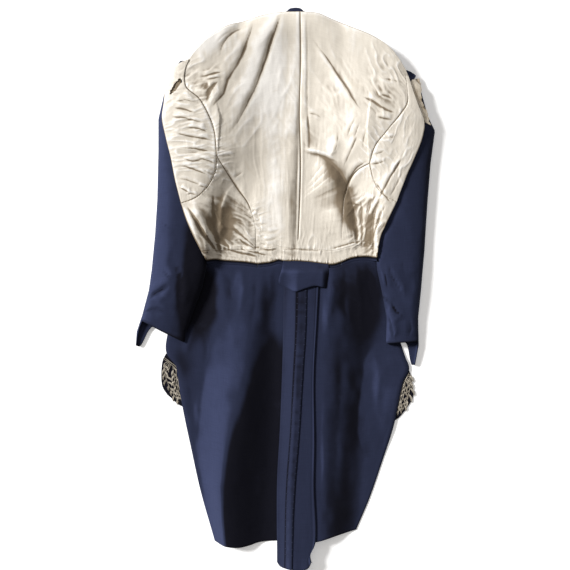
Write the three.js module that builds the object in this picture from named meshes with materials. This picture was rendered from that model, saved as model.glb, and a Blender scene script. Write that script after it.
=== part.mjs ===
// A blue wool tailcoat laid open on a flat surface, its satin lining up.
// Millimetres. X runs across the coat, Y up towards the collar, Z up from the surface.
// The origin is on the surface, under the centre of the waist seam.
import * as THREE from "three";

// Walls and the air between them.
const WOOL = 2;
const SATIN = 1.3;
const SEAM_GAP = 0.3;
const PLY_GAP = 0.4;
const OVER_SLEEVE_GAP = 1.1;

// Rows and columns of the panels' grids.
const ARMHOLE_ROWS = 9;
const SIDE_ROWS = 8;
const HEM_ROWS = 2;
const SIDE_COLUMNS = 6;
const CHEST_COLUMNS = 6;
const TAIL_COLUMNS = 13;
const SLEEVE_STEPS = 18;

const TAIL_STOPS = [
  0, 0.06, 0.12, 0.18, 0.23, 0.27, 0.3, 0.325, 0.35, 0.39, 0.43, 0.48, 0.53, 0.59, 0.65, 0.71, 0.77, 0.83,
  0.89, 0.95, 1,
];

// Below the lining's hem the shell runs on to the waist seam.
const SHELL_BELOW_HEM = 7;

// The turned-under neck: how far the shell clears the collar, and the roll behind it.
const COLLAR_CLEAR = 2.7;
const COLLAR_REACH = { full: 30, end: 70 };
const NECK_ROLL = 9;
const NECK_ROLL_WIDTH = 24;
const NECK_ROLL_REACH = { full: 60, end: 120 };

// How full the lining lies over the shell.
const BACK_PUFF = 4;
const CHEST_PUFF = 3;
const HEAD_PAD = 1.9;
const HEAD_CLEAR = 0.15;
const HEAD_PAD_FADE = { top: 260, bottom: 230 };

// A sleeve's section, and how the cloth lies over it: widened a little, level past the crown, then falling.
const ROUNDNESS = 2.2;
const WIDEST_AT = 0.3;
const CREST_HOLD = 0.45;
const DRAPE_WIDENING = 1.14;
const BASE_SQUARENESS = 5;
const CUFF_SHAPED_ROWS = 5;
const RING_SPACING = 28;
const FOLD_CROWDING = 0.8;

// The vent's strips lie on the right tail's raised edge and slope down to the left.
const STRIP_CLEAR = 0.8;
const STRIP_SLOPE = 26;
const STRIP_TOP = -22;
const STRIP_ROWS = 20;
const STAY_ROWS = 5;
const STAY_COLUMNS = 10;
const STAY_CLEAR = 1;
const STAY_OVER_HEADS = { start: -8, full: -20 };
const STAY_BESIDE = { start: 4, end: 18 };

// Pocket flaps: room under the tails' edges, down from where it starts, and the height of the leaves.
const FLAP_ROOM = 2.7;
const FLAP_ROOM_LEFT = { start: -150, full: -162, hold: -275, end: -300 };
const FLAP_ROOM_RIGHT = { start: -166, full: -188, hold: -292, end: -318 };
const FLAP_ROOM_ACROSS = { full: 58, end: 81 };
const FLAP_RELIEF = 1.1;
const FLAP_RELIEF_EDGE = { start: 0.5, full: 4 };
const FLAP_COLUMNS = 9;
const FLAP_ROWS = 16;

// The right sleeve head has torn loose and lies over the sleeve. The collar lies on the surface.
const TORN_ROWS = 9;
const TORN_CLEAR = 0.3;
const COLLAR_COLUMNS = 16;

const CLOTH = { color: 0x2b3350, roughness: 0.95, metalness: 0 };
const LINING = { color: 0xe6dccb, roughness: 0.55, metalness: 0 };
const METAL_THREAD = { color: 0x8d8474, roughness: 0.6, metalness: 0.3 };

// Edges and seams, each from its upper or left end.
const NECK_LEFT = [
  { x: 18, y: 450 },
  { x: -14, y: 449 },
  { x: -50, y: 443 },
  { x: -85, y: 431 },
  { x: -115, y: 421 },
  { x: -144, y: 401 },
  { x: -164, y: 382 },
  { x: -180, y: 361 },
];
const NECK_RIGHT = [
  { x: 18, y: 450 },
  { x: 50, y: 447 },
  { x: 76, y: 436 },
  { x: 106, y: 422 },
  { x: 148, y: 403 },
  { x: 178, y: 382 },
  { x: 193, y: 364 },
  { x: 205, y: 345 },
];
const SHOULDER_LEFT = [
  { x: -216, y: 329 },
  { x: -207, y: 346 },
  { x: -194, y: 355 },
  { x: -180, y: 361 },
];
const SHOULDER_RIGHT = [
  { x: 205, y: 345 },
  { x: 212, y: 328 },
  { x: 218, y: 306 },
  { x: 221, y: 293 },
];
const OPEN_EDGE_LEFT = [
  { x: -216, y: 329 },
  { x: -222, y: 308 },
  { x: -225, y: 284 },
  { x: -228, y: 256 },
  { x: -221, y: 220 },
  { x: -212, y: 184 },
  { x: -205, y: 148 },
  { x: -194, y: 104 },
];
const OPEN_EDGE_RIGHT = [
  { x: 221, y: 293 },
  { x: 230, y: 274 },
  { x: 239, y: 248 },
  { x: 236, y: 223 },
  { x: 221, y: 184 },
  { x: 205, y: 148 },
  { x: 189, y: 106 },
];
const ARMHOLE_LEFT = [
  { x: -180, y: 361 },
  { x: -188, y: 337 },
  { x: -185, y: 311 },
  { x: -162, y: 290 },
  { x: -146, y: 263 },
  { x: -135, y: 234 },
  { x: -130, y: 187 },
];
const ARMHOLE_RIGHT = [
  { x: 205, y: 345 },
  { x: 208, y: 317 },
  { x: 209, y: 284 },
  { x: 197, y: 263 },
  { x: 174, y: 235 },
  { x: 151, y: 205 },
  { x: 141, y: 175 },
];
const ARMHOLE_FOOT_LEFT = [
  { x: -130, y: 187 },
  { x: -133, y: 162 },
  { x: -146, y: 135 },
  { x: -166, y: 115 },
  { x: -194, y: 104 },
];
const ARMHOLE_FOOT_RIGHT = [
  { x: 141, y: 175 },
  { x: 149, y: 144 },
  { x: 162, y: 122 },
  { x: 189, y: 106 },
];
const SIDE_SEAM_LEFT = [
  { x: -130, y: 187 },
  { x: -112, y: 158 },
  { x: -94, y: 131 },
  { x: -76, y: 106 },
  { x: -63, y: 67 },
  { x: -61, y: 22 },
];
const SIDE_SEAM_RIGHT = [
  { x: 141, y: 175 },
  { x: 121, y: 164 },
  { x: 109, y: 149 },
  { x: 99, y: 121 },
  { x: 94, y: 76 },
  { x: 92, y: 23 },
];
const SIDE_EDGE_LEFT = [
  { x: -194, y: 104 },
  { x: -185, y: 76 },
  { x: -174, y: 50 },
  { x: -158, y: 18 },
];
const SIDE_EDGE_RIGHT = [
  { x: 189, y: 106 },
  { x: 179, y: 85 },
  { x: 173, y: 72 },
  { x: 162, y: 47 },
  { x: 157, y: 25 },
];
const CENTRE_SEAM = [
  { x: 18, y: 450 },
  { x: 19, y: 364 },
  { x: 17, y: 266 },
  { x: 19, y: 164 },
  { x: 14, y: 23 },
];
const HEM_SIDE_LEFT = [
  { x: -149, y: 3 },
  { x: -135, y: 5 },
  { x: -119, y: 3 },
  { x: -79, y: 0 },
  { x: -58, y: -3 },
];
const HEM_BACK_LEFT = [
  { x: -58, y: -3 },
  { x: -34, y: 0 },
  { x: -20, y: 4 },
  { x: -11, y: 2 },
  { x: 13, y: 2 },
];
const HEM_BACK_RIGHT = [
  { x: 13, y: 2 },
  { x: 38, y: 0 },
  { x: 61, y: -3 },
  { x: 78, y: -4 },
  { x: 92, y: 0 },
];
const HEM_SIDE_RIGHT = [
  { x: 92, y: 0 },
  { x: 113, y: 8 },
  { x: 137, y: 10 },
  { x: 155, y: 8 },
];

const TAIL_OUTER_LEFT = [
  { x: -149, y: -4.5 },
  { x: -180, y: -45 },
  { x: -208, y: -95 },
  { x: -220, y: -130 },
  { x: -222, y: -163 },
  { x: -205, y: -187 },
  { x: -202, y: -205 },
  { x: -193, y: -260 },
  { x: -178, y: -333 },
  { x: -160, y: -414 },
  { x: -135, y: -501 },
];
const TAIL_OUTER_RIGHT = [
  { x: 155, y: 0.5 },
  { x: 176, y: -60 },
  { x: 190, y: -115 },
  { x: 206, y: -168 },
  { x: 214, y: -192 },
  { x: 204, y: -214 },
  { x: 198, y: -238 },
  { x: 186, y: -295 },
  { x: 162, y: -370 },
  { x: 142, y: -427 },
  { x: 119, y: -481 },
];
const TAIL_INNER_LEFT = [
  { x: 12, y: -5.5 },
  { x: 6, y: -160 },
  { x: 0, y: -320 },
  { x: -9, y: -500 },
];
const TAIL_INNER_RIGHT = [
  { x: 14, y: -5.5 },
  { x: 24, y: -60 },
  { x: 26, y: -300 },
  { x: 24, y: -502 },
];
const TAIL_HEM_LEFT = [
  { x: -135, y: -501 },
  { x: -117, y: -508 },
  { x: -92, y: -511 },
  { x: -73, y: -508 },
  { x: -55, y: -503 },
  { x: -9, y: -500 },
];
const TAIL_HEM_RIGHT = [
  { x: 24, y: -502 },
  { x: 45, y: -501 },
  { x: 82, y: -491 },
  { x: 119, y: -481 },
];

const STRIP_LEFT_EDGE = [
  { x: -11, y: STRIP_TOP },
  { x: -12, y: -122 },
  { x: -14, y: -200 },
  { x: -18, y: -302 },
  { x: -23, y: -396 },
  { x: -23, y: -539 },
];
const FACING_EDGE = [
  { x: 31, y: STRIP_TOP },
  { x: 29, y: -108 },
  { x: 22, y: -218 },
  { x: 17, y: -302 },
  { x: 7, y: -433 },
  { x: 4, y: -550 },
];
const STRIP_RIGHT_EDGE = [
  { x: 53, y: STRIP_TOP },
  { x: 48, y: -108 },
  { x: 43, y: -200 },
  { x: 44, y: -322 },
  { x: 43, y: -396 },
  { x: 45, y: -501 },
  { x: 36, y: -524 },
  { x: 38, y: -536 },
];
const FACING_FOOT = [
  { x: -23, y: -539 },
  { x: -17, y: -546 },
  { x: 4, y: -550 },
];
const UNDERLAP_FOOT = [
  { x: 4, y: -550 },
  { x: 22, y: -551 },
  { x: 32, y: -547 },
  { x: 38, y: -536 },
];
const STAY_LEFT_EDGE = [
  { x: -13, y: -6 },
  { x: -16, y: -18 },
  { x: -20, y: -31 },
  { x: -20, y: -38 },
];
const STAY_RIGHT_EDGE = [
  { x: 69, y: -12 },
  { x: 70, y: -22 },
  { x: 68, y: -35 },
  { x: 66, y: -47 },
];
const STAY_POINT = [
  { x: -20, y: -38 },
  { x: -7, y: -46 },
  { x: 10, y: -53 },
  { x: 26, y: -48 },
  { x: 45, y: -43 },
  { x: 66, y: -47 },
];
const COLLAR_EDGE = [
  { x: -63, y: 433 },
  { x: -27, y: 444 },
  { x: -6, y: 451 },
  { x: 0, y: 456 },
  { x: 18, y: 456.5 },
  { x: 25, y: 451 },
  { x: 58, y: 441 },
  { x: 99, y: 421 },
];
const COLLAR_FOLD = [
  { x: -50, y: 400 },
  { x: -16, y: 411 },
  { x: 20, y: 415 },
  { x: 55, y: 408 },
  { x: 86, y: 392 },
];
const FLAP_OUTER_LEFT = [
  { x: -223, y: -165 },
  { x: -229, y: -178 },
  { x: -231, y: -214 },
  { x: -228, y: -227 },
  { x: -220, y: -239 },
];
const FLAP_INNER_LEFT = [
  { x: -172, y: -180 },
  { x: -166, y: -222 },
  { x: -160, y: -266 },
];
const FLAP_FOOT_LEFT = [
  { x: -220, y: -239 },
  { x: -193, y: -260 },
  { x: -160, y: -266 },
];
const FLAP_OUTER_RIGHT = [
  { x: 213, y: -193 },
  { x: 217, y: -203 },
  { x: 221, y: -225 },
  { x: 221, y: -243 },
  { x: 208, y: -266 },
];
const FLAP_INNER_RIGHT = [
  { x: 172, y: -206 },
  { x: 164, y: -245 },
  { x: 158, y: -290 },
];
const FLAP_FOOT_RIGHT = [
  { x: 158, y: -290 },
  { x: 190, y: -284 },
  { x: 208, y: -266 },
];
const TORN_HEAD_INNER = [
  { x: 213.5, y: 327 },
  { x: 219, y: 306 },
  { x: 223, y: 293 },
  { x: 231.5, y: 273.5 },
  { x: 240.5, y: 248 },
];
const TORN_HEAD_OUTER = [
  { x: 232, y: 329 },
  { x: 235, y: 309 },
  { x: 234, y: 294 },
  { x: 243, y: 270 },
  { x: 251, y: 243 },
];

// A row for each section of a sleeve, from armhole to cuff: its two folds across X, how high it lies,
// its thickness, and where the cloth that lies over it comes down again.
const SLEEVE_LEFT = [
  { y: 326, outer: -209, inner: -150, lift: 0, height: 21, settle: -96 },
  { y: 300, outer: -220, inner: -134, lift: 0, height: 26, settle: -90 },
  { y: 256, outer: -236, inner: -124, lift: 0, height: 29, settle: -84 },
  { y: 200, outer: -236, inner: -128, lift: 0, height: 29, settle: -84 },
  { y: 112, outer: -238, inner: -140, lift: 0, height: 28, settle: -92 },
  { y: 50, outer: -242, inner: -151, lift: 0, height: 26, settle: -112 },
  { y: 18, outer: -245, inner: -157, lift: 1.2, height: 25, settle: -134 },
  { y: -14, outer: -248, inner: -157, lift: 2.5, height: 24, settle: -144 },
  { y: -50, outer: -253, inner: -162, lift: 2.5, height: 23, settle: -150 },
  { y: -95, outer: -265, inner: -176, lift: 2.5, height: 20, settle: -170 },
  { y: -125, outer: -275, inner: -187, lift: 2.5, height: 16, settle: -180 },
  { y: -150, outer: -277, inner: -190, lift: 2.5, height: 13, settle: -180 },
];
const SLEEVE_RIGHT = [
  { y: 332, outer: 215, inner: 156, lift: 0, height: 21, settle: 108 },
  { y: 310, outer: 234, inner: 146, lift: 0, height: 25, settle: 104 },
  { y: 259, outer: 248, inner: 138, lift: 0, height: 29, settle: 100 },
  { y: 235, outer: 260, inner: 136, lift: 0, height: 29, settle: 98 },
  { y: 175, outer: 252, inner: 140, lift: 0, height: 29, settle: 98 },
  { y: 112, outer: 247, inner: 148, lift: 0, height: 28, settle: 104 },
  { y: 50, outer: 243, inner: 156, lift: 0, height: 26, settle: 120 },
  { y: 18, outer: 241, inner: 162, lift: 1.2, height: 25, settle: 140 },
  { y: -14, outer: 238, inner: 164, lift: 2.5, height: 24, settle: 150 },
  { y: -50, outer: 235, inner: 168, lift: 2.5, height: 23, settle: 156 },
  { y: -100, outer: 230, inner: 173, lift: 2.5, height: 20, settle: 165 },
  { y: -150, outer: 231, inner: 172, lift: 2.5, height: 16, settle: 165 },
  { y: -188, outer: 224, inner: 172, lift: 2.5, height: 12, settle: 165 },
];
// The cuff's upper edge, and the tongue that its under layer runs out to beside the outer fold.
const CUFF_LEFT = { outerY: -104, innerY: -144, tongue: 46, tongueWidth: 0.3 };
const CUFF_RIGHT = { outerY: -143, innerY: -146, tongue: 42, tongueWidth: 0.42 };

// A row for each section of a tail, down from the waist: where its slope starts beside the outer edge,
// the crest and the floor of its flute, and the crest's height. The right one stays up towards the vent.
const FLUTE_LEFT = [
  { y: 0, start: -140, crest: -64, floor: -24, height: 0 },
  { y: -60, start: -150, crest: -66, floor: -22, height: 8 },
  { y: -150, start: -172, crest: -80, floor: -22, height: 16 },
  { y: -260, start: -178, crest: -96, floor: -24, height: 24 },
  { y: -330, start: -174, crest: -110, floor: -26, height: 26 },
  { y: -400, start: -162, crest: -122, floor: -30, height: 26 },
  { y: -520, start: -136, crest: -112, floor: -34, height: 20 },
];
const FLUTE_RIGHT = [
  { y: 0, start: 152, crest: 72, height: 0 },
  { y: -30, start: 152, crest: 72, height: 7 },
  { y: -60, start: 152, crest: 72, height: 12 },
  { y: -100, start: 155, crest: 69, height: 15 },
  { y: -150, start: 158, crest: 66, height: 17 },
  { y: -260, start: 142, crest: 60, height: 19 },
  { y: -400, start: 132, crest: 56, height: 19 },
  { y: -520, start: 118, crest: 54, height: 18 },
];

// The lining's largest folds: a line, its half width and its rise, negative for a hollow.
const LINING_FOLDS = [
  { x1: -16, y1: 439, x2: -58, y2: 330, width: 11, rise: 6 },
  { x1: -58, y1: 330, x2: -104, y2: 232, width: 11, rise: 7 },
  { x1: 2, y1: 420, x2: -84, y2: 232, width: 9, rise: -3 },
  { x1: -68, y1: 391, x2: -144, y2: 274, width: 10, rise: 5 },
  { x1: -68, y1: 432, x2: -126, y2: 383, width: 9, rise: 4 },
  { x1: 40, y1: 398, x2: 79, y2: 337, width: 11, rise: 6 },
  { x1: 79, y1: 337, x2: 128, y2: 270, width: 11, rise: 5 },
  { x1: 24, y1: 440, x2: 24, y2: 30, width: 6, rise: 3 },
  { x1: 31, y1: 266, x2: 74, y2: 186, width: 10, rise: 3 },
  { x1: 65, y1: 167, x2: 104, y2: 60, width: 18, rise: -5 },
  { x1: -112, y1: 118, x2: -106, y2: 24, width: 10, rise: -4 },
  { x1: -180, y1: 94, x2: -118, y2: 16, width: 9, rise: 5 },
  { x1: -104, y1: 66, x2: -60, y2: 34, width: 7, rise: 3 },
  { x1: -88, y1: 24, x2: -34, y2: 10, width: 7, rise: 3 },
  { x1: 148, y1: 66, x2: 152, y2: 14, width: 8, rise: 4 },
  { x1: 128, y1: 110, x2: 128, y2: 12, width: 7, rise: 3 },
];

// The leaves worked on the flaps: centre, direction in degrees, length and width.
const LEAVES_LEFT = [
  { x: -219, y: -178, turn: 70, long: 20, wide: 8 },
  { x: -212, y: -196, turn: 115, long: 22, wide: 9 },
  { x: -223, y: -205, turn: 80, long: 20, wide: 8 },
  { x: -209, y: -219, turn: 110, long: 22, wide: 9 },
  { x: -220, y: -228, turn: 130, long: 18, wide: 8 },
  { x: -204, y: -240, turn: 125, long: 20, wide: 8 },
];
const LEAVES_RIGHT = [
  { x: 213, y: -206, turn: 95, long: 16, wide: 8 },
  { x: 215, y: -226, turn: 80, long: 20, wide: 8 },
  { x: 207, y: -240, turn: 75, long: 22, wide: 8 },
  { x: 203, y: -259, turn: 65, long: 20, wide: 8 },
];

// The rip in the left shoulder's lining, as cells of that panel's grid.
const RIP = { firstRow: 2, lastRow: 3, firstColumn: 3, lastColumn: 3 };

function clamp(value, low, high) {
  return Math.min(high, Math.max(low, value));
}

function eased(start, end, value) {
  const t = clamp((value - start) / (end - start), 0, 1);
  return t * t * (3 - 2 * t);
}

function evenStops(count) {
  return Array.from({ length: count + 1 }, (_, i) => i / count);
}

// Points along a smooth curve through a table's rows, at the given shares of its length.
function along(rows, stops) {
  const curve = new THREE.CatmullRomCurve3(
    rows.map((row) => new THREE.Vector3(row.x, row.y, 0)),
    false,
    "centripetal",
  );
  curve.arcLengthDivisions = 400;
  return stops.map((stop) => curve.getPointAt(stop)).map((p) => ({ x: p.x, y: p.y }));
}

function chained(first, second) {
  return first.concat(second.slice(1));
}

// The value of one column of a table at a height y, eased between its rows.
function columnAt(rows, column, y) {
  const last = rows.length - 1;
  if (y >= rows[0].y) return rows[0][column];
  if (y <= rows[last].y) return rows[last][column];
  const k = rows.findIndex((row, i) => i < last && y <= row.y && y >= rows[i + 1].y);
  const t = (rows[k].y - y) / (rows[k].y - rows[k + 1].y);
  return THREE.MathUtils.lerp(rows[k][column], rows[k + 1][column], t);
}

// A four-sided panel filled in from its edges, row by row from the top.
function panel({ left, right, top, bottom }) {
  const rows = left.length - 1;
  const columns = top.length - 1;
  const blend = (axis, i, j) => {
    const u = i / columns;
    const v = j / rows;
    const sides = (1 - u) * left[j][axis] + u * right[j][axis];
    const ends = (1 - v) * top[i][axis] + v * bottom[i][axis];
    const cornersTop = (1 - u) * top[0][axis] + u * top[columns][axis];
    const cornersBottom = (1 - u) * bottom[0][axis] + u * bottom[columns][axis];
    return sides + ends - (1 - v) * cornersTop - v * cornersBottom;
  };
  const point = (i, j) => ({ x: blend("x", i, j), y: blend("y", i, j), u: i / columns, v: j / rows });
  return left.map((_, j) => top.map((__, i) => point(i, j)));
}

function joinedAcross(...panels) {
  return panels[0].map((_, j) => panels.flatMap((grid, k) => (k ? grid[j].slice(1) : grid[j])));
}

// The distance from a point to a line through sampled points.
function distanceTo(points, x, y) {
  let least = Infinity;
  for (let k = 0; k + 1 < points.length; k += 1) {
    const dx = points[k + 1].x - points[k].x;
    const dy = points[k + 1].y - points[k].y;
    const t = clamp(((x - points[k].x) * dx + (y - points[k].y) * dy) / (dx * dx + dy * dy), 0, 1);
    least = Math.min(least, Math.hypot(x - points[k].x - t * dx, y - points[k].y - t * dy));
  }
  return least;
}

// Soft ridges and troughs along lines, fading out at their ends.
function foldHeight(folds, x, y) {
  let sum = 0;
  for (const fold of folds) {
    const dx = fold.x2 - fold.x1;
    const dy = fold.y2 - fold.y1;
    const t = ((x - fold.x1) * dx + (y - fold.y1) * dy) / (dx * dx + dy * dy);
    const near = clamp(t, 0, 1);
    const off = Math.hypot(x - fold.x1 - near * dx, y - fold.y1 - near * dy) / fold.width;
    sum += fold.rise * Math.exp(-off * off);
  }
  return sum;
}

// Where a point lies across a sleeve, from -1 at its outer fold to 1 at its inner one.
function acrossSleeve(rows, x, y) {
  const outer = columnAt(rows, "outer", y);
  const inner = columnAt(rows, "inner", y);
  return (2 * (x - outer)) / (inner - outer) - 1;
}

// The height of a sleeve's upper layer over a point.
function sleeveTop(rows, x, y, widening = 1) {
  const d = clamp(Math.abs(acrossSleeve(rows, x, y)) / widening, 0, 1);
  const crown = (1 - d ** ROUNDNESS) ** (1 / ROUNDNESS);
  const height = columnAt(rows, "height", y);
  return columnAt(rows, "lift", y) + height * (WIDEST_AT + (1 - WIDEST_AT) * crown);
}

// How far the cloth over a sleeve is lifted: it follows the sleeve's crown, then falls slowly inward.
function liftOverSleeve(rows, x, y) {
  const d = acrossSleeve(rows, x, y);
  const full = columnAt(rows, "lift", y) + columnAt(rows, "height", y) + OVER_SLEEVE_GAP;
  const over = sleeveTop(rows, x, y, DRAPE_WIDENING) + OVER_SLEEVE_GAP;
  if (d <= 0) return over;
  const outer = columnAt(rows, "outer", y);
  const inner = columnAt(rows, "inner", y);
  const hold = (outer + inner) / 2 + (CREST_HOLD * (inner - outer)) / 2;
  const fall = full * (1 - eased(hold, columnAt(rows, "settle", y), x));
  return d < 1 ? Math.max(over, fall) : fall;
}

const NECK = chained(along(NECK_LEFT, evenStops(16)).reverse(), along(NECK_RIGHT, evenStops(16)));

// The underside of the wool shell over the surface.
function shellUnder(x, y) {
  const t = distanceTo(NECK, x, y);
  const roll = (NECK_ROLL * t * Math.exp(1 - t / NECK_ROLL_WIDTH)) / NECK_ROLL_WIDTH;
  const overCollar = COLLAR_CLEAR * (1 - eased(COLLAR_REACH.full, COLLAR_REACH.end, t));
  const neck = overCollar + roll * (1 - eased(NECK_ROLL_REACH.full, NECK_ROLL_REACH.end, t));
  const sleeve = x < 0 ? liftOverSleeve(SLEEVE_LEFT, x, y) : liftOverSleeve(SLEEVE_RIGHT, x, y);
  return Math.max(neck, sleeve, 0);
}

function shellTop(x, y) {
  return shellUnder(x, y) + WOOL;
}

// How far the lining stands off the shell inside a panel of its own.
function puff(u, v, amount) {
  return amount * (1 - (2 * u - 1) ** 4) * (1 - (2 * v - 1) ** 4);
}

function liningUnder(point, amount) {
  const relief = puff(point.u, point.v, amount) + foldHeight(LINING_FOLDS, point.x, point.y);
  return shellTop(point.x, point.y) + PLY_GAP + Math.max(0, relief);
}

// One closed wall from grids of points, each with its lower and upper height. Edges that the grids share
// are joined, every free edge is drawn in by half a seam's gap, and cells that skip names are left open.
function clothWall(grids, { inset = SEAM_GAP / 2, skip = () => false } = {}) {
  const found = new Map();
  const points = [];
  const faces = [];
  const idOf = (point) => {
    const key = `${point.x.toFixed(2)},${point.y.toFixed(2)}`;
    if (!found.has(key)) {
      found.set(key, points.length);
      points.push(point);
    }
    return found.get(key);
  };
  const addFace = (a, b, c) => {
    if (a !== b && b !== c && c !== a) faces.push([a, b, c]);
  };
  for (const grid of grids) {
    const ids = grid.map((row) => row.map(idOf));
    for (let j = 0; j + 1 < ids.length; j += 1) {
      for (let i = 0; i + 1 < ids[j].length; i += 1) {
        if (skip(j, i)) continue;
        addFace(ids[j][i], ids[j + 1][i], ids[j + 1][i + 1]);
        addFace(ids[j][i], ids[j + 1][i + 1], ids[j][i + 1]);
      }
    }
  }
  const free = new Map();
  for (const face of faces) {
    for (let k = 0; k < 3; k += 1) {
      const a = face[k];
      const b = face[(k + 1) % 3];
      if (!free.delete(`${b},${a}`)) free.set(`${a},${b}`, [a, b]);
    }
  }
  const inward = points.map(() => new THREE.Vector2());
  for (const [a, b] of free.values()) {
    const normal = new THREE.Vector2(points[a].y - points[b].y, points[b].x - points[a].x).normalize();
    inward[a].add(normal);
    inward[b].add(normal);
  }
  const count = points.length;
  const positions = new Float32Array(6 * count);
  points.forEach((point, k) => {
    const shift = inward[k].lengthSq() ? inward[k].setLength(inset) : inward[k];
    positions.set([point.x + shift.x, point.y + shift.y, point.high], 3 * k);
    positions.set([point.x + shift.x, point.y + shift.y, point.low], 3 * (count + k));
  });
  const index = faces.flatMap(([a, b, c]) => [a, b, c, count + c, count + b, count + a]);
  for (const [a, b] of free.values()) index.push(a, count + a, b, b, count + a, count + b);
  const used = new Set(index);
  if (used.size < 2 * count) throw new Error("a wall has loose points");
  const geometry = new THREE.BufferGeometry();
  geometry.setAttribute("position", new THREE.BufferAttribute(positions, 3));
  geometry.setIndex(index);
  return geometry;
}

function withHeights(grid, lowOf, thickness) {
  return grid.map((row) =>
    row.map((point) => {
      const low = lowOf(point);
      return { ...point, low, high: low + thickness };
    }),
  );
}

const coat = new THREE.Group();

function addPiece(name, geometry, finish) {
  geometry.computeVertexNormals();
  const mesh = new THREE.Mesh(geometry, new THREE.MeshStandardMaterial(finish));
  mesh.name = name;
  coat.add(mesh);
}

// The body's panels, as grids that shell and lining share.
const BACK_LEFT_STOPS = [0, 0.1, 0.2, 0.3, 0.4, 0.5, 0.6, 0.7, 0.8, 0.88, 0.95, 1];
const BACK_RIGHT_STOPS = BACK_LEFT_STOPS.map((stop) => 1 - stop).reverse();
const SIDE_STOPS = evenStops(SIDE_COLUMNS);
const BODY_ROWS = ARMHOLE_ROWS + SIDE_ROWS;

function bodySide(side) {
  const armhole = along(side.armhole, evenStops(ARMHOLE_ROWS));
  const armholeFoot = along(side.armholeFoot, SIDE_STOPS);
  const seam = along(side.seam, evenStops(SIDE_ROWS));
  const edge = along(side.edge, evenStops(SIDE_ROWS));
  const centre = along(CENTRE_SEAM, evenStops(BODY_ROWS));
  const hemSide = along(side.hemSide, SIDE_STOPS);
  const hemBack = along(side.hemBack, side.isLeft ? BACK_LEFT_STOPS : BACK_RIGHT_STOPS);
  const neck = along(side.neck, BACK_RIGHT_STOPS);
  const hemRows = (from, to) => along([from, to], evenStops(HEM_ROWS));
  const hemAtSeam = side.isLeft ? hemBack[0] : hemBack[hemBack.length - 1];
  const hemAtCentre = side.isLeft ? hemBack[hemBack.length - 1] : hemBack[0];
  const hemAtEdge = side.isLeft ? hemSide[0] : hemSide[hemSide.length - 1];
  const seamDown = chained(seam, hemRows(seam[SIDE_ROWS], hemAtSeam));
  const armholeDown = chained(armhole, seamDown);
  const centreDown = chained(centre, hemRows(centre[BODY_ROWS], hemAtCentre));
  const edgeDown = chained(edge, hemRows(edge[SIDE_ROWS], hemAtEdge));
  const chestInner = chained(armhole, armholeFoot);
  const openEdge = along(side.openEdge, evenStops(ARMHOLE_ROWS + SIDE_COLUMNS));
  const shoulder = along(side.shoulder, evenStops(CHEST_COLUMNS));
  const foot = shoulder.map(() => armholeFoot[SIDE_COLUMNS]);
  return side.isLeft
    ? {
        back: panel({ left: armholeDown, right: centreDown, top: neck.slice().reverse(), bottom: hemBack }),
        side: panel({ left: edgeDown, right: seamDown, top: armholeFoot.slice().reverse(), bottom: hemSide }),
        chest: panel({ left: openEdge, right: chestInner, top: shoulder, bottom: foot }),
      }
    : {
        back: panel({ left: centreDown, right: armholeDown, top: neck, bottom: hemBack }),
        side: panel({ left: seamDown, right: edgeDown, top: armholeFoot, bottom: hemSide }),
        chest: panel({ left: chestInner, right: openEdge, top: shoulder, bottom: foot }),
      };
}

const bodyLeft = bodySide({
  isLeft: true,
  neck: NECK_LEFT,
  shoulder: SHOULDER_LEFT,
  openEdge: OPEN_EDGE_LEFT,
  armhole: ARMHOLE_LEFT,
  armholeFoot: ARMHOLE_FOOT_LEFT,
  seam: SIDE_SEAM_LEFT,
  edge: SIDE_EDGE_LEFT,
  hemSide: HEM_SIDE_LEFT,
  hemBack: HEM_BACK_LEFT,
});
const bodyRight = bodySide({
  isLeft: false,
  neck: NECK_RIGHT,
  shoulder: SHOULDER_RIGHT,
  openEdge: OPEN_EDGE_RIGHT,
  armhole: ARMHOLE_RIGHT,
  armholeFoot: ARMHOLE_FOOT_RIGHT,
  seam: SIDE_SEAM_RIGHT,
  edge: SIDE_EDGE_RIGHT,
  hemSide: HEM_SIDE_RIGHT,
  hemBack: HEM_BACK_RIGHT,
});

// The shells run a little below the lining's hem, level with it.
function withWaistSeam(grid) {
  const hem = grid[grid.length - 1];
  return grid.concat([hem.map((point) => ({ ...point, y: point.y - SHELL_BELOW_HEM, hemY: point.y }))]);
}

function shellPoint(point) {
  return shellUnder(point.x, point.hemY ?? point.y);
}

const backGrid = withWaistSeam(joinedAcross(bodyLeft.back, bodyRight.back));
addPiece("back_shell", clothWall([withHeights(backGrid, shellPoint, WOOL)]), CLOTH);
for (const [name, body] of [["front_left", bodyLeft], ["front_right", bodyRight]]) {
  const grids = [body.chest, withWaistSeam(body.side)];
  addPiece(name, clothWall(grids.map((grid) => withHeights(grid, shellPoint, WOOL))), CLOTH);
}

// Linings end at the tuck above their turned hem, which is one strip across the coat.
function aboveHem(grid) {
  return grid.slice(0, grid.length - HEM_ROWS);
}

function liningWall(grid, amount, options) {
  return clothWall([withHeights(grid, (point) => liningUnder(point, amount), SATIN)], options);
}

addPiece("lining_back_left", liningWall(aboveHem(bodyLeft.back), BACK_PUFF), LINING);
addPiece("lining_back_right", liningWall(aboveHem(bodyRight.back), BACK_PUFF), LINING);
addPiece("lining_side_left", liningWall(aboveHem(bodyLeft.side), CHEST_PUFF), LINING);
addPiece("lining_side_right", liningWall(aboveHem(bodyRight.side), CHEST_PUFF), LINING);

// The chest linings stand off over the sleeve heads. The left one is ripped.
function chestUnder(point) {
  const pad = HEAD_PAD * (1 - eased(HEAD_PAD_FADE.top, HEAD_PAD_FADE.bottom, point.y));
  return liningUnder(point, CHEST_PUFF) + pad;
}

function isRip(j, i) {
  return j >= RIP.firstRow && j <= RIP.lastRow && i >= RIP.firstColumn && i <= RIP.lastColumn;
}

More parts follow.
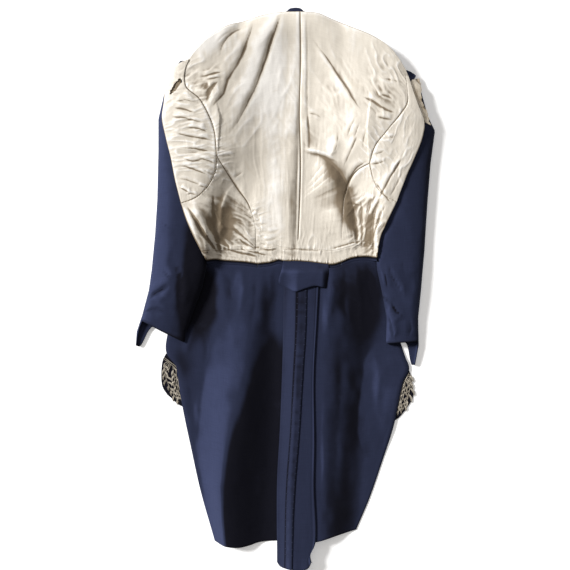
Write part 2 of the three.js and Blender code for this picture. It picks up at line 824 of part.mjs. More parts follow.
const chestLeft = withHeights(bodyLeft.chest, chestUnder, SATIN);
const chestRight = withHeights(bodyRight.chest, chestUnder, SATIN);
addPiece("lining_chest_left", clothWall([chestLeft], { skip: isRip }), LINING);
addPiece("lining_chest_right", clothWall([chestRight]), LINING);

const headLeft = bodyLeft.chest.slice(1, 6).map((row) => row.slice(1, 6));
const headPoint = (point) => shellTop(point.x, point.y) + PLY_GAP + HEAD_CLEAR;
addPiece("sleeve_head_left", clothWall([withHeights(headLeft, headPoint, SATIN)]), LINING);

// The right head has torn loose and lies over the sleeve beside the coat's open edge.
const tornInner = along(TORN_HEAD_INNER, evenStops(TORN_ROWS));
const tornOuter = along(TORN_HEAD_OUTER, evenStops(TORN_ROWS));
const tornEnds = (k) => along([tornInner[k], tornOuter[k]], evenStops(3));
const tornGrid = panel({ left: tornInner, right: tornOuter, top: tornEnds(0), bottom: tornEnds(TORN_ROWS) });
const tornPoint = (point) => liftOverSleeve(SLEEVE_RIGHT, point.x, point.y) + TORN_CLEAR;
addPiece("sleeve_head_right", clothWall([withHeights(tornGrid, tornPoint, SATIN)]), LINING);

// The turned hem takes the last rows of the side and back panels.
const hemPanels = [bodyLeft.side, bodyLeft.back, bodyRight.back, bodyRight.side];
const hemGrid = joinedAcross(...hemPanels.map((grid) => grid.slice(-HEM_ROWS - 1)));
addPiece("waist_band", clothWall([withHeights(hemGrid, (point) => liningUnder(point, 0), SATIN)]), LINING);

// Tails: flat beside the outer edge, then a flute.
function fluteUnder(flute, x, y) {
  const crest = columnAt(flute, "crest", y);
  const height = columnAt(flute, "height", y);
  if (Math.abs(x) > Math.abs(crest)) return height * eased(columnAt(flute, "start", y), crest, x);
  return flute[0].floor ? height * (1 - eased(crest, columnAt(flute, "floor", y), x)) : height;
}

// Room for a pocket flap under the outer edge.
function roomOverFlap(room, y, away) {
  const lengthwise = eased(room.start, room.full, y) * (1 - eased(room.hold, room.end, y));
  return FLAP_ROOM * lengthwise * (1 - eased(FLAP_ROOM_ACROSS.full, FLAP_ROOM_ACROSS.end, away));
}

function tailPiece(name, edges, waist, flute, room) {
  const left = along(edges.left, TAIL_STOPS);
  const right = along(edges.right, TAIL_STOPS);
  const seam = waist.map((row) => ({ x: row.x, y: row.y - SHELL_BELOW_HEM - SEAM_GAP }));
  const top = along(seam, evenStops(TAIL_COLUMNS));
  top[0] = left[0];
  top[TAIL_COLUMNS] = right[0];
  const bottom = along(edges.hem, evenStops(TAIL_COLUMNS));
  const grid = panel({ left, right, top, bottom });
  const outer = name === "tail_left" ? left : right;
  const under = (point) => {
    const row = Math.round(point.v * (TAIL_STOPS.length - 1));
    const away = Math.abs(point.x - outer[row].x);
    return Math.max(fluteUnder(flute, point.x, point.y), roomOverFlap(room, point.y, away));
  };
  addPiece(name, clothWall([withHeights(grid, under, WOOL)]), CLOTH);
}

const tailEdgesLeft = { left: TAIL_OUTER_LEFT, right: TAIL_INNER_LEFT, hem: TAIL_HEM_LEFT };
const tailEdgesRight = { left: TAIL_INNER_RIGHT, right: TAIL_OUTER_RIGHT, hem: TAIL_HEM_RIGHT };
const waistLeft = chained(HEM_SIDE_LEFT, HEM_BACK_LEFT);
const waistRight = chained(HEM_BACK_RIGHT, HEM_SIDE_RIGHT);
tailPiece("tail_left", tailEdgesLeft, waistLeft, FLUTE_LEFT, FLAP_ROOM_LEFT);
tailPiece("tail_right", tailEdgesRight, waistRight, FLUTE_RIGHT, FLAP_ROOM_RIGHT);

// The vent's underlap lies on both tails, and its facing on the underlap.
const stripLeft = along(STRIP_LEFT_EDGE, evenStops(STRIP_ROWS));
const stripMiddle = along(FACING_EDGE, evenStops(STRIP_ROWS));
const stripRight = along(STRIP_RIGHT_EDGE, evenStops(STRIP_ROWS));
const headOf = (from, to, steps) => along([from[0], to[0]], evenStops(steps));
const stripUnderFacing = panel({
  left: stripLeft,
  right: stripMiddle,
  top: headOf(stripLeft, stripMiddle, 4),
  bottom: along(FACING_FOOT, evenStops(4)),
});
const stripBeside = panel({
  left: stripMiddle,
  right: stripRight,
  top: headOf(stripMiddle, stripRight, 3),
  bottom: along(UNDERLAP_FOOT, evenStops(3)),
});

function stripRise(x, y) {
  const left = columnAt(STRIP_LEFT_EDGE, "x", y);
  return columnAt(FLUTE_RIGHT, "height", y) * eased(left, left + STRIP_SLOPE, x);
}

const underlapPoint = (point) => WOOL + STRIP_CLEAR + stripRise(point.x, point.y);
const facingPoint = (point) => underlapPoint(point) + WOOL + PLY_GAP;
const underlap = [stripUnderFacing, stripBeside].map((grid) => withHeights(grid, underlapPoint, WOOL));
addPiece("vent_underlap", clothWall(underlap), CLOTH);
addPiece("vent_facing", clothWall([withHeights(stripUnderFacing, facingPoint, WOOL)]), CLOTH);

// The stay covers the head of the strips.
const stayGrid = panel({
  left: along(STAY_LEFT_EDGE, evenStops(STAY_ROWS)),
  right: along(STAY_RIGHT_EDGE, evenStops(STAY_ROWS)),
  top: along([STAY_LEFT_EDGE[0], STAY_RIGHT_EDGE[0]], evenStops(STAY_COLUMNS)),
  bottom: along(STAY_POINT, evenStops(STAY_COLUMNS)),
});
const stripLayers = 2 * WOOL + PLY_GAP + STAY_CLEAR;
function stayPoint(point) {
  const beside = point.x - columnAt(STRIP_RIGHT_EDGE, "x", point.y);
  const overHeads = eased(STAY_OVER_HEADS.start, STAY_OVER_HEADS.full, point.y);
  const onStrips = overHeads * (1 - eased(STAY_BESIDE.start, STAY_BESIDE.end, beside));
  return WOOL + STRIP_CLEAR + stripLayers * onStrips + stripRise(point.x, point.y);
}
addPiece("vent_stay", clothWall([withHeights(stayGrid, stayPoint, WOOL)]), CLOTH);

// The standing collar is turned under the neck and lies on the surface.
const collarEdge = along(COLLAR_EDGE, evenStops(COLLAR_COLUMNS));
const collarFold = along(COLLAR_FOLD, evenStops(COLLAR_COLUMNS));
const collarEnd = (k) => along([collarEdge[k], collarFold[k]], evenStops(2));
const collarGrid = panel({
  left: collarEnd(0),
  right: collarEnd(COLLAR_COLUMNS),
  top: collarEdge,
  bottom: collarFold,
});
addPiece("collar", clothWall([withHeights(collarGrid, () => 0, WOOL)]), CLOTH);

// Pocket flaps: flat on the surface, with stitched leaves raised where they show beyond the tails.
function leafHeight(leaves, x, y) {
  let most = 0;
  for (const leaf of leaves) {
    const turn = THREE.MathUtils.degToRad(leaf.turn);
    const alongLeaf = (2 * ((x - leaf.x) * Math.cos(turn) + (y - leaf.y) * Math.sin(turn))) / leaf.long;
    const acrossLeaf = (2 * ((y - leaf.y) * Math.cos(turn) - (x - leaf.x) * Math.sin(turn))) / leaf.wide;
    most = Math.max(most, 1 - alongLeaf ** 2 - acrossLeaf ** 2);
  }
  return Math.sqrt(most);
}

function flapPiece(name, edges, leaves, tailEdge) {
  const left = along(edges.left, evenStops(FLAP_ROWS));
  const right = along(edges.right, evenStops(FLAP_ROWS));
  const grid = panel({
    left,
    right,
    top: along([left[0], right[0]], evenStops(FLAP_COLUMNS)),
    bottom: along(edges.foot, evenStops(FLAP_COLUMNS)),
  });
  const raised = grid.map((row) =>
    row.map((point) => {
      const beyond = Math.abs(point.x) - Math.abs(columnAt(tailEdge, "x", point.y));
      const shown = eased(FLAP_RELIEF_EDGE.start, FLAP_RELIEF_EDGE.full, beyond);
      const relief = FLAP_RELIEF * leafHeight(leaves, point.x, point.y) * shown;
      return { ...point, low: 0, high: WOOL + relief };
    }),
  );
  addPiece(name, clothWall([raised]), METAL_THREAD);
}

flapPiece("pocket_flap_left", { left: FLAP_OUTER_LEFT, right: FLAP_INNER_LEFT, foot: FLAP_FOOT_LEFT },
  LEAVES_LEFT, TAIL_OUTER_LEFT);
flapPiece("pocket_flap_right", { left: FLAP_INNER_RIGHT, right: FLAP_OUTER_RIGHT, foot: FLAP_FOOT_RIGHT },
  LEAVES_RIGHT, TAIL_OUTER_RIGHT);

// A sleeve is a flattened tube, open at the armhole and at the cuff.
function sleeveGeometry(rows, cuff) {
  const sections = rows.filter((row) => row.y > cuff.outerY + 20).map((row) => row.y);
  const stops = [];
  for (let k = 0; k + 1 < sections.length; k += 1) {
    const parts = Math.max(1, Math.round((sections[k] - sections[k + 1]) / RING_SPACING));
    for (let p = 0; p < parts; p += 1) {
      stops.push(THREE.MathUtils.lerp(sections[k], sections[k + 1], p / parts));
    }
  }
  const lastStraight = sections[sections.length - 1];
  stops.push(lastStraight);
  const positions = [];
  const ring = (yOf, inset) => {
    for (let s = 0; s < SLEEVE_STEPS; s += 1) {
      const turn = (2 * Math.PI * (s + 0.5)) / SLEEVE_STEPS;
      const isTop = Math.sin(turn) > 0;
      const share = Math.cos(turn);
      const d = Math.sign(share) * Math.abs(share) ** FOLD_CROWDING;
      const y = yOf(d, isTop);
      const height = columnAt(rows, "height", y) - 2 * inset;
      const outer = columnAt(rows, "outer", y);
      const inner = columnAt(rows, "inner", y);
      const half = Math.abs(inner - outer) / 2 - inset;
      const side = Math.sign(inner - outer);
      const power = isTop ? ROUNDNESS : BASE_SQUARENESS;
      const crown = (1 - Math.abs(d) ** power) ** (1 / power);
      const z = height * (isTop ? WIDEST_AT + (1 - WIDEST_AT) * crown : WIDEST_AT * (1 - crown));
      positions.push((outer + inner) / 2 + side * d * half, y, columnAt(rows, "lift", y) + inset + z);
    }
  };
  const rings = stops.map((y) => () => y);
  for (let k = 1; k <= CUFF_SHAPED_ROWS; k += 1) {
    rings.push((d, isTop) => {
      const edge = THREE.MathUtils.lerp(cuff.outerY, cuff.innerY, (d + 1) / 2);
      const tongue = cuff.tongue * (1 - eased(-1 + 0.3 * cuff.tongueWidth, -1 + 2 * cuff.tongueWidth, d));
      const end = isTop ? edge - tongue * (1 - eased(-1, -0.93, d)) : edge - tongue;
      return THREE.MathUtils.lerp(lastStraight, end, k / CUFF_SHAPED_ROWS);
    });
  }
  for (const yOf of rings) ring(yOf, 0);
  for (const yOf of rings) ring(yOf, WOOL);
  const count = rings.length;
  const index = [];
  const quad = (a, b, c, d) => index.push(a, b, c, a, c, d);
  const id = (layer, k, s) => (layer * count + k) * SLEEVE_STEPS + (s % SLEEVE_STEPS);
  for (let s = 0; s < SLEEVE_STEPS; s += 1) {
    for (let k = 0; k + 1 < count; k += 1) {
      quad(id(0, k, s), id(0, k, s + 1), id(0, k + 1, s + 1), id(0, k + 1, s));
      quad(id(1, k, s), id(1, k + 1, s), id(1, k + 1, s + 1), id(1, k, s + 1));
    }
    quad(id(0, 0, s), id(1, 0, s), id(1, 0, s + 1), id(0, 0, s + 1));
    quad(id(0, count - 1, s), id(0, count - 1, s + 1), id(1, count - 1, s + 1), id(1, count - 1, s));
  }
  if (rows[0].inner < rows[0].outer) {
    for (let k = 0; k < index.length; k += 3) [index[k + 1], index[k + 2]] = [index[k + 2], index[k + 1]];
  }
  const geometry = new THREE.BufferGeometry();
  geometry.setAttribute("position", new THREE.Float32BufferAttribute(positions, 3));
  geometry.setIndex(index);
  return geometry;
}

addPiece("sleeve_left", sleeveGeometry(SLEEVE_LEFT, CUFF_LEFT), CLOTH);
addPiece("sleeve_right", sleeveGeometry(SLEEVE_RIGHT, CUFF_RIGHT), CLOTH);

export default coat;
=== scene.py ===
# A blue wool tailcoat laid open on a flat surface, its satin lining up.
# Shapes are worked out in millimetres and put into the meshes in metres.
import math
import bpy
import bmesh
import numpy as np
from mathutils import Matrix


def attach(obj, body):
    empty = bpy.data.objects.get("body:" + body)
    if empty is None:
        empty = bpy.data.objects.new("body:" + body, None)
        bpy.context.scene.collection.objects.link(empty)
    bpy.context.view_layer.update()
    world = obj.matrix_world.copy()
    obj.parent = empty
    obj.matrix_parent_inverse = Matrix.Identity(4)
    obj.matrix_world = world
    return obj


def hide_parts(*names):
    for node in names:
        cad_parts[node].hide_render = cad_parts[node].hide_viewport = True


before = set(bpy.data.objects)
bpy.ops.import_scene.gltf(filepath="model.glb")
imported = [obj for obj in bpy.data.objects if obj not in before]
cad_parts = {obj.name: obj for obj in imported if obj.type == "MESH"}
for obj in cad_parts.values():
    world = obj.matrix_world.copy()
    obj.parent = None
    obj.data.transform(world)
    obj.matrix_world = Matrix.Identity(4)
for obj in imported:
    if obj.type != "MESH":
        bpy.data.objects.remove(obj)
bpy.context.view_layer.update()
print("stage: frame loaded")

millimetre = 0.001
coat = {"seamGap": 0.12, "plyGap": 0.4, "wool": 2.0, "nap": 0.2, "satin": 0.9, "threadHollow": 0.35}


# curves, grids and noise

def smooth(start, end, value):  # from 0 to 1 between start and end, level at both
    t = np.clip((value - start) / (end - start), 0, 1)
    return t * t * (3 - 2 * t)


def bell(value, middle, reach):  # 1 at the middle, dying away over the reach to both sides
    return np.exp(-(((value - middle) / reach) ** 2))


def softNoise(x, y, seed=0):  # random values on a lattice, eased between: from -1 to 1
    gx, gy = np.floor(x), np.floor(y)
    fx, fy = smooth(0, 1, x - gx), smooth(0, 1, y - gy)

    def at(i, j):
        h = np.sin(127.1 * (gx + i) + 311.7 * (gy + j) + 74.7 * seed) * 43758.5453
        return 2 * (h - np.floor(h)) - 1

    upper = at(0, 0) * (1 - fx) + at(1, 0) * fx
    lower = at(0, 1) * (1 - fx) + at(1, 1) * fx
    return upper * (1 - fy) + lower * fy


def curveThrough(points, shares):  # a smooth curve through points, read off at shares of its length
    p = np.array(points, float)
    p = np.vstack([2 * p[0] - p[1], p, 2 * p[-1] - p[-2]])
    a, b, c, d = p[:-3, None], p[1:-2, None], p[2:-1, None], p[3:, None]
    s0, s1, s2 = (np.sqrt(np.linalg.norm(r - q, axis=2, keepdims=True)) for q, r in ((a, b), (b, c), (c, d)))
    leaving = ((b - a) / s0 - (c - a) / (s0 + s1) + (c - b) / s1) * s1
    arriving = ((c - b) / s1 - (d - b) / (s1 + s2) + (d - c) / s2) * s1
    t = np.linspace(0, 1, 40, endpoint=False)[None, :, None]
    line = b + leaving * t + (3 * (c - b) - 2 * leaving - arriving) * t**2 + (2 * (b - c) + leaving + arriving) * t**3
    line = np.vstack([line.reshape(-1, p.shape[1]), p[-2]])
    run = np.concatenate([[0], np.cumsum(np.linalg.norm(np.diff(line, axis=0), axis=1))])
    at = np.asarray(shares, float) * run[-1]
    return np.stack([np.interp(at, run, line[:, k]) for k in range(p.shape[1])], axis=1)


def evenly(count):  # shares from 0 to 1 in equal steps
    return np.linspace(0, 1, count + 1)


def drawn(points, steps):  # a smooth curve through points, read off in equal steps
    return curveThrough(points, evenly(steps))


def chained(*lines):  # lines joined end to end, each shared point once
    return np.vstack([lines[0]] + [line[1:] for line in lines[1:]])


def panelGrid(left, right, top, bottom):  # a four-sided panel filled in from its edges, row by row from the top
    u = np.linspace(0, 1, len(top))[None, :, None]
    v = np.linspace(0, 1, len(left))[:, None, None]
    sides = (1 - u) * left[:, None] + u * right[:, None]
    ends = (1 - v) * top[None] + v * bottom[None]
    corners = (1 - v) * ((1 - u) * top[0] + u * top[-1]) + v * ((1 - u) * bottom[0] + u * bottom[-1])
    return sides + ends - corners


def spannedGrid(left, right, steps, foot=None):  # a panel with a straight head, and a straight foot if none is given
    head, end = (drawn([left[k], right[k]], steps) for k in (0, -1))
    return panelGrid(left, right, head, end if foot is None else drawn(foot, steps))


def columnAt(rows, column, y):  # one column of a table at a height y, straight between its rows
    table = np.array(rows, float)[::-1]
    return np.interp(y, table[:, 0], table[:, column])


def nearLine(line, x, y):  # distance to a line, the side it is on (1 left of its run) and the share along it
    px, py = x.ravel(), y.ravel()
    best = np.full(px.shape, 1e9)
    side, share = np.zeros_like(px), np.zeros_like(px)
    lengths = np.linalg.norm(np.diff(line, axis=0), axis=1)
    starts = np.concatenate([[0], np.cumsum(lengths)])
    for k in range(len(line) - 1):
        (x1, y1), (dx, dy) = line[k], line[k + 1] - line[k]
        t = np.clip(((px - x1) * dx + (py - y1) * dy) / (dx * dx + dy * dy), 0, 1)
        ox, oy = px - x1 - t * dx, py - y1 - t * dy
        d = np.hypot(ox, oy)
        nearer = d < best
        best = np.where(nearer, d, best)
        side = np.where(nearer, np.sign(dx * oy - dy * ox), side)
        share = np.where(nearer, (starts[k] + t * lengths[k]) / starts[-1], share)
    return best.reshape(x.shape), side.reshape(x.shape), share.reshape(x.shape), starts[-1]


def alongLines(rows, x, y, wobble):
    # for each row's line, the points near it: their distance, side, width and how full the fold is there
    wx = x + wobble * softNoise(x / 26, y / 26, 3) + 0.35 * wobble * softNoise(x / 8, y / 8, 5)
    wy = y + wobble * softNoise(x / 26, y / 26, 4) + 0.35 * wobble * softNoise(x / 8, y / 8, 6)
    for number, (points, leftWidth, rightWidth, *rises) in enumerate(rows):
        line = drawn(points, 16)
        reach = 4.4 * max(leftWidth, rightWidth)
        low, high = line.min(axis=0) - reach, line.max(axis=0) + reach
        inside = (wx > low[0]) & (wx < high[0]) & (wy > low[1]) & (wy < high[1])
        if not inside.any():
            continue
        d, side, share, length = nearLine(line, wx[inside], wy[inside])
        full = smooth(0, 0.3, share) * (1 - smooth(0.66, 1, share))
        width = np.where(side > 0, leftWidth, rightWidth) * (0.5 + 0.5 * full)
        uneven = 1 + 0.25 * softNoise(share * length / 21, 0 * share, number)
        yield inside, d, side, width, uneven * (0.06 + 0.94 * full), rises


def foldSum(folds, x, y, wobble=2.2):  # soft ridges: a crest that falls away to both sides
    total = np.zeros_like(x)
    for inside, d, side, width, full, (rise,) in alongLines(folds, x, y, wobble):
        softened = np.sqrt(d * d + 1.2) - math.sqrt(1.2)
        total[inside] += rise * full * np.exp(-((softened / width) ** 1.3))
    return total


def creaseSum(creases, x, y, wobble=1.0):  # sharp valleys: a bank rises from each side of the line, and dies away
    total = np.zeros_like(x)
    for inside, d, side, width, full, (leftRise, rightRise) in alongLines(creases, x, y, wobble):
        t = d / width
        bank = np.where(t < 1, t * np.exp((1 - t * t) / 2), bell(t, 1, 1.5))
        total[inside] += np.where(side > 0, leftRise, rightRise) * full * bank
    return total


def creaseShade(creases, x, y, wobble=1.0):  # painted shade in the creases: over the higher bank, and in the line
    shade = np.zeros_like(x)
    for inside, d, side, width, full, (leftRise, rightRise) in alongLines(creases, x, y, wobble):
        rise = np.where(side > 0, leftRise, rightRise)
        bank = np.clip(rise / 6, 0, 1) * bell(d, 0, 0.9 * width)
        line = 0.6 * min(max(leftRise, rightRise) / 2, 1) * bell(d, 0, 1.3)
        shade[inside] = np.maximum(shade[inside], full * (bank + line))
    return shade


def crumple(patches, x, y):
    # patches of uneven creases: ridges of stretched noise, bent by a slower noise, strongest at the patch's middle
    total = np.zeros_like(x)
    for number, (cx, cy, rx, ry, turn, long, short, rise) in enumerate(patches):
        mask = np.exp(-(((x - cx) / rx) ** 4) - ((y - cy) / ry) ** 4)
        c, n = math.cos(math.radians(turn)), math.sin(math.radians(turn))
        run = (x * c + y * n) / long
        off = (y * c - x * n) / short
        off = off + 0.9 * softNoise(run * 1.1, off * 0.35, 100 + number)
        ridge = 1 - np.abs(softNoise(run, off, 110 + number))
        finer = 1 - np.abs(softNoise(run * 1.7 + 9, off * 2.1, 120 + number))
        total += rise * mask * (ridge ** 2.2 - 0.45 + 0.35 * (finer ** 2 - 0.4))
    return total


def puckers(line, x, y, reach, pitch, rise, seed, lean=0.0):
    # small uneven ridges that leave a seam at right angles and die away
    d, side, share, length = nearLine(line, x, y)
    s = share * length + lean * d
    wave = softNoise(s / pitch, d / (2.2 * reach) + 7 * side, seed)
    wave = 1 - 2 * np.abs(wave)
    strength = 0.55 + 0.45 * softNoise(s / (5 * pitch), 0 * s, seed + 5)
    fade = np.exp(-((d / reach) ** 1.4)) * smooth(0, 1.5, d)
    return rise * wave * strength * fade


# meshes

def runLengths(points):  # how far each point is along its row, from the row's middle, and along its column
    run = [np.cumsum(np.linalg.norm(np.diff(points, axis=k), axis=2), axis=k) for k in (1, 0)]
    across, down = np.pad(run[0], ((0, 0), (1, 0))), np.pad(run[1], ((1, 0), (0, 0)))
    return across - across[:, -1:] / 2, down


def edgeDistance(points, top=True, bottom=True):  # to the nearest edge; a flat joined end can be left out
    across, down = runLengths(points)
    left = across - across[:, :1]
    fromTop = down + (0 if top else np.inf)
    fromBottom = down[-1:] - down + (0 if bottom else np.inf)
    return np.minimum(np.minimum(left, left[:, -1:] - left), np.minimum(fromTop, fromBottom))


def turnDown(edge, fall, reach=2.0):  # how far the cloth turns down near its edge: all of the fall at the edge itself
    return fall * (1 - smooth(0, reach, edge))


def hollowness(height, cells=5, depth=2.0):  # how far a point lies under the mean of those around it
    kernel = np.ones(2 * cells + 1) / (2 * cells + 1)
    mean = np.pad(height, cells, mode="edge")
    for axis in (0, 1):
        mean = np.apply_along_axis(lambda r: np.convolve(r, kernel, "valid"), axis, mean)
    return np.clip(0.5 + (mean - height) / (2 * depth), 0, 1)


def newMesh(name, vertices, faces, uv, hollow, material, merge=True):
    # a smooth mesh in metres with the cloth's own coordinates and the hollow value of each point, which paints its
    # light and shade; doubled points become one
    mesh = bpy.data.meshes.new(name)
    mesh.from_pydata((vertices * millimetre).tolist(), [], faces)
    layer = mesh.attributes.new("hollow", "FLOAT", "POINT")
    layer.data.foreach_set("value", np.ascontiguousarray(hollow, dtype=np.float32))
    corners = np.empty(len(mesh.loops), dtype=np.int32)
    mesh.loops.foreach_get("vertex_index", corners)
    layer = mesh.uv_layers.new(name="cloth")
    layer.data.foreach_set("uv", (uv[corners] * millimetre).astype(np.float32).ravel())
    work = bmesh.new()
    work.from_mesh(mesh)
    if merge:
        bmesh.ops.remove_doubles(work, verts=work.verts, dist=2e-6)
        bmesh.ops.dissolve_degenerate(work, edges=work.edges, dist=1e-7)
    else:
        bmesh.ops.recalc_face_normals(work, faces=work.faces)
    work.to_mesh(mesh)
    work.free()
    mesh.polygons.foreach_set("use_smooth", np.ones(len(mesh.polygons), dtype=bool))
    mesh.materials.append(material)
    made = bpy.data.objects.new(name, mesh)
    bpy.context.collection.objects.link(made)
    return made


def clothPiece(name, top, thickness, material, keep=None, lip=0.5, hollow=None):
    # the upper face as given, the lower face under it, and a rounded rim round every free edge
    rows, columns = top.shape[:2]
    count = rows * columns
    ids = np.arange(count).reshape(rows, columns)
    quads = np.stack([ids[:-1, :-1], ids[1:, :-1], ids[1:, 1:], ids[:-1, 1:]], axis=-1)
    quads = quads.reshape(-1, 4) if keep is None else quads[keep]
    heads, tails = quads.ravel(), np.roll(quads, -1, axis=1).ravel()
    free = ~np.isin(tails * count + heads, heads * count + tails)
    a, b = heads[free], tails[free]
    upper = top.reshape(-1, 3)
    lower = upper - np.array([0, 0, 1]) * np.broadcast_to(np.reshape(thickness, (-1, 1)), (count, 1))
    run = upper[b] - upper[a]
    outward = np.zeros((count, 3))
    for end in (a, b):
        np.add.at(outward, end, np.stack([run[:, 1], -run[:, 0], 0 * run[:, 0]], axis=1))
    outward /= np.maximum(np.linalg.norm(outward, axis=1, keepdims=True), 1e-9)
    upper = upper - outward * coat["seamGap"] / 2
    lower = lower - outward * coat["seamGap"] / 2
    middle = (upper + lower) / 2 + outward * lip * np.mean(thickness) / 2
    faces = np.vstack([quads, quads[:, ::-1] + count,
                       np.stack([b, a, a + 2 * count, b + 2 * count], axis=1),
                       np.stack([b + 2 * count, a + 2 * count, a + count, b + count], axis=1)])
    used, flat = np.unique(faces, return_inverse=True)
    across, down = runLengths(top)
    uv = np.tile(np.stack([across.ravel(), down.ravel()], axis=1), (3, 1))[used]
    # by default, painted shade in the upper face's hollows
    hollow = hollowness(top[:, :, 2]) if hollow is None else hollow
    return newMesh(name, np.vstack([upper, lower, middle])[used], flat.reshape(faces.shape).tolist(), uv,
                   np.tile(hollow.ravel(), 3)[used], material)


def tubes(name, paths, radius, material, sides=4):
    # many small cords in one mesh: rings round each path, drawn in to a point at both ends
    paths = np.asarray(paths, float)  # cords, points, 3
    count, points = paths.shape[:2]
    along = np.gradient(paths, axis=1)
    along /= np.maximum(np.linalg.norm(along, axis=2, keepdims=True), 1e-9)
    beside = np.cross(along, [0, 0, 1.0])
    beside /= np.maximum(np.linalg.norm(beside, axis=2, keepdims=True), 1e-9)
    above = np.cross(beside, along)
    swell = np.sqrt(np.clip(1 - (2 * np.linspace(0, 1, points) - 1) ** 8, 0.02, 1))[None, :, None, None]
    turn = np.linspace(0, 2 * np.pi, sides, endpoint=False)
    ring = beside[:, :, None] * np.cos(turn)[:, None] + above[:, :, None] * np.sin(turn)[:, None]
    thick = np.broadcast_to(np.reshape(radius, (-1, 1, 1, 1)), (count, 1, 1, 1))
    vertices = (paths[:, :, None] + ring * thick * swell).reshape(-1, 3)
    ids = np.arange(count * points * sides).reshape(count, points, sides)
    nextRing = np.roll(ids, -1, axis=2)
    walls = np.stack([ids[:, :-1], nextRing[:, :-1], nextRing[:, 1:], ids[:, 1:]], axis=-1).reshape(-1, 4)
    run = np.cumsum(np.linalg.norm(np.diff(paths, axis=1, prepend=paths[:, :1]), axis=2), axis=1)
    uv = np.stack([np.broadcast_to(turn / 6, ids.shape).ravel(), np.repeat(run.ravel(), sides)], axis=1)
    faces = walls.tolist() + ids[:, 0, ::-1].tolist() + ids[:, -1].tolist()
    return newMesh(name, vertices, faces, uv, np.full(len(vertices), coat["threadHollow"]), material, merge=False)


def finishPiece(piece, nodes, cut=None):
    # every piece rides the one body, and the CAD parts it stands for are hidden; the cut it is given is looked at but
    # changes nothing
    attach(piece, "root")
    if nodes:
        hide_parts(*nodes)
    if cut:
        cut[2] if len(cut) > 2 else None
    return piece


# materials

def node(tree, kind, values=None, **settings):  # its inputs take plain values or the outputs of other nodes
    made = tree.nodes.new("ShaderNode" + kind)
    for key, value in settings.items():
        setattr(made, key, value)
    for key, value in (values or {}).items():
        if isinstance(value, bpy.types.NodeSocket):
            tree.links.new(value, made.inputs[key])
        else:
            made.inputs[key].default_value = value
    return made


def newGroup(name, inputs, outputs):  # an empty group, what is given to it and what it gives
    group = bpy.data.node_groups.new(name, "ShaderNodeTree")
    for key, kind, value in inputs:
        socket = group.interface.new_socket(key, in_out="INPUT", socket_type="NodeSocket" + kind)
        if value is not None:
            socket.default_value = value
    for key, kind in outputs:
        group.interface.new_socket(key, in_out="OUTPUT", socket_type="NodeSocket" + kind)
    return group, group.nodes.new("NodeGroupInput").outputs, group.nodes.new("NodeGroupOutput").inputs


def reckoned(tree, operation, first, second=0.0, clamp=False):  # one sum of two values
    return node(tree, "Math", {0: first, 1: second}, operation=operation, use_clamp=clamp).outputs[0]


def noiseOf(tree, vector, scale, detail, roughness, distortion=0.0):  # one noise, from 0 to 1
    return node(tree, "TexNoise", {"Vector": vector, "Scale": scale, "Detail": detail, "Roughness": roughness,
                                   "Distortion": distortion}).outputs["Fac"]


def eased(tree, value, start, end):  # from 0 to 1 between start and end, level at both
    return node(tree, "MapRange", {"Value": value, "From Min": start, "From Max": end},
                interpolation_type="SMOOTHSTEP").outputs[0]


def spread(tree, value, low, high):  # a noise's middle range stretched between two values
    return node(tree, "MapRange", {"Value": value, "From Min": 0.3, "From Max": 0.7, "To Min": low,
                                   "To Max": high}).outputs[0]


def mixed(tree, share, first, second, blend="MIX"):  # from the first colour to the second by a share
    return node(tree, "Mix", {0: share, 6: first, 7: second}, data_type="RGBA", blend_type=blend).outputs[2]


def threadGroup():
    # crossed waves for the threads, stretched noise for their thick and thin places, and a fine nap over them
    group, given, gives = newGroup("clothThreads", [
        ("Vector", "Vector", None), ("Threads", "Float", 900.0), ("Slub", "Float", 0.5), ("Nap", "Float", 0.5)],
        [("Height", "Float"), ("Tone", "Float")])
    split = node(group, "SeparateXYZ", {0: given["Vector"]})
    waves, slubs = [], []
    for axis, stretch in (("X", (900, 40, 1)), ("Y", (35, 700, 1))):
        turned = reckoned(group, "MULTIPLY", split.outputs[axis], given["Threads"])
        waves.append(reckoned(group, "SINE", reckoned(group, "MULTIPLY", turned, 2 * math.pi)))
        stretched = node(group, "Mapping", {"Vector": given["Vector"], "Scale": stretch})
        slubs.append(noiseOf(group, stretched.outputs[0], 1.0, 2.0, 0.5))
    weave = reckoned(group, "MULTIPLY", reckoned(group, "MAXIMUM", *waves), 0.25)
    slub = reckoned(group, "ADD", *slubs)
    nap = reckoned(group, "MULTIPLY", noiseOf(group, given["Vector"], 1500.0, 3.0, 0.7), given["Nap"])
    height = reckoned(group, "ADD", weave, reckoned(group, "MULTIPLY", slub, given["Slub"]))
    group.links.new(reckoned(group, "ADD", height, nap), gives["Height"])
    group.links.new(reckoned(group, "MULTIPLY", slub, 0.5), gives["Tone"])
    return group


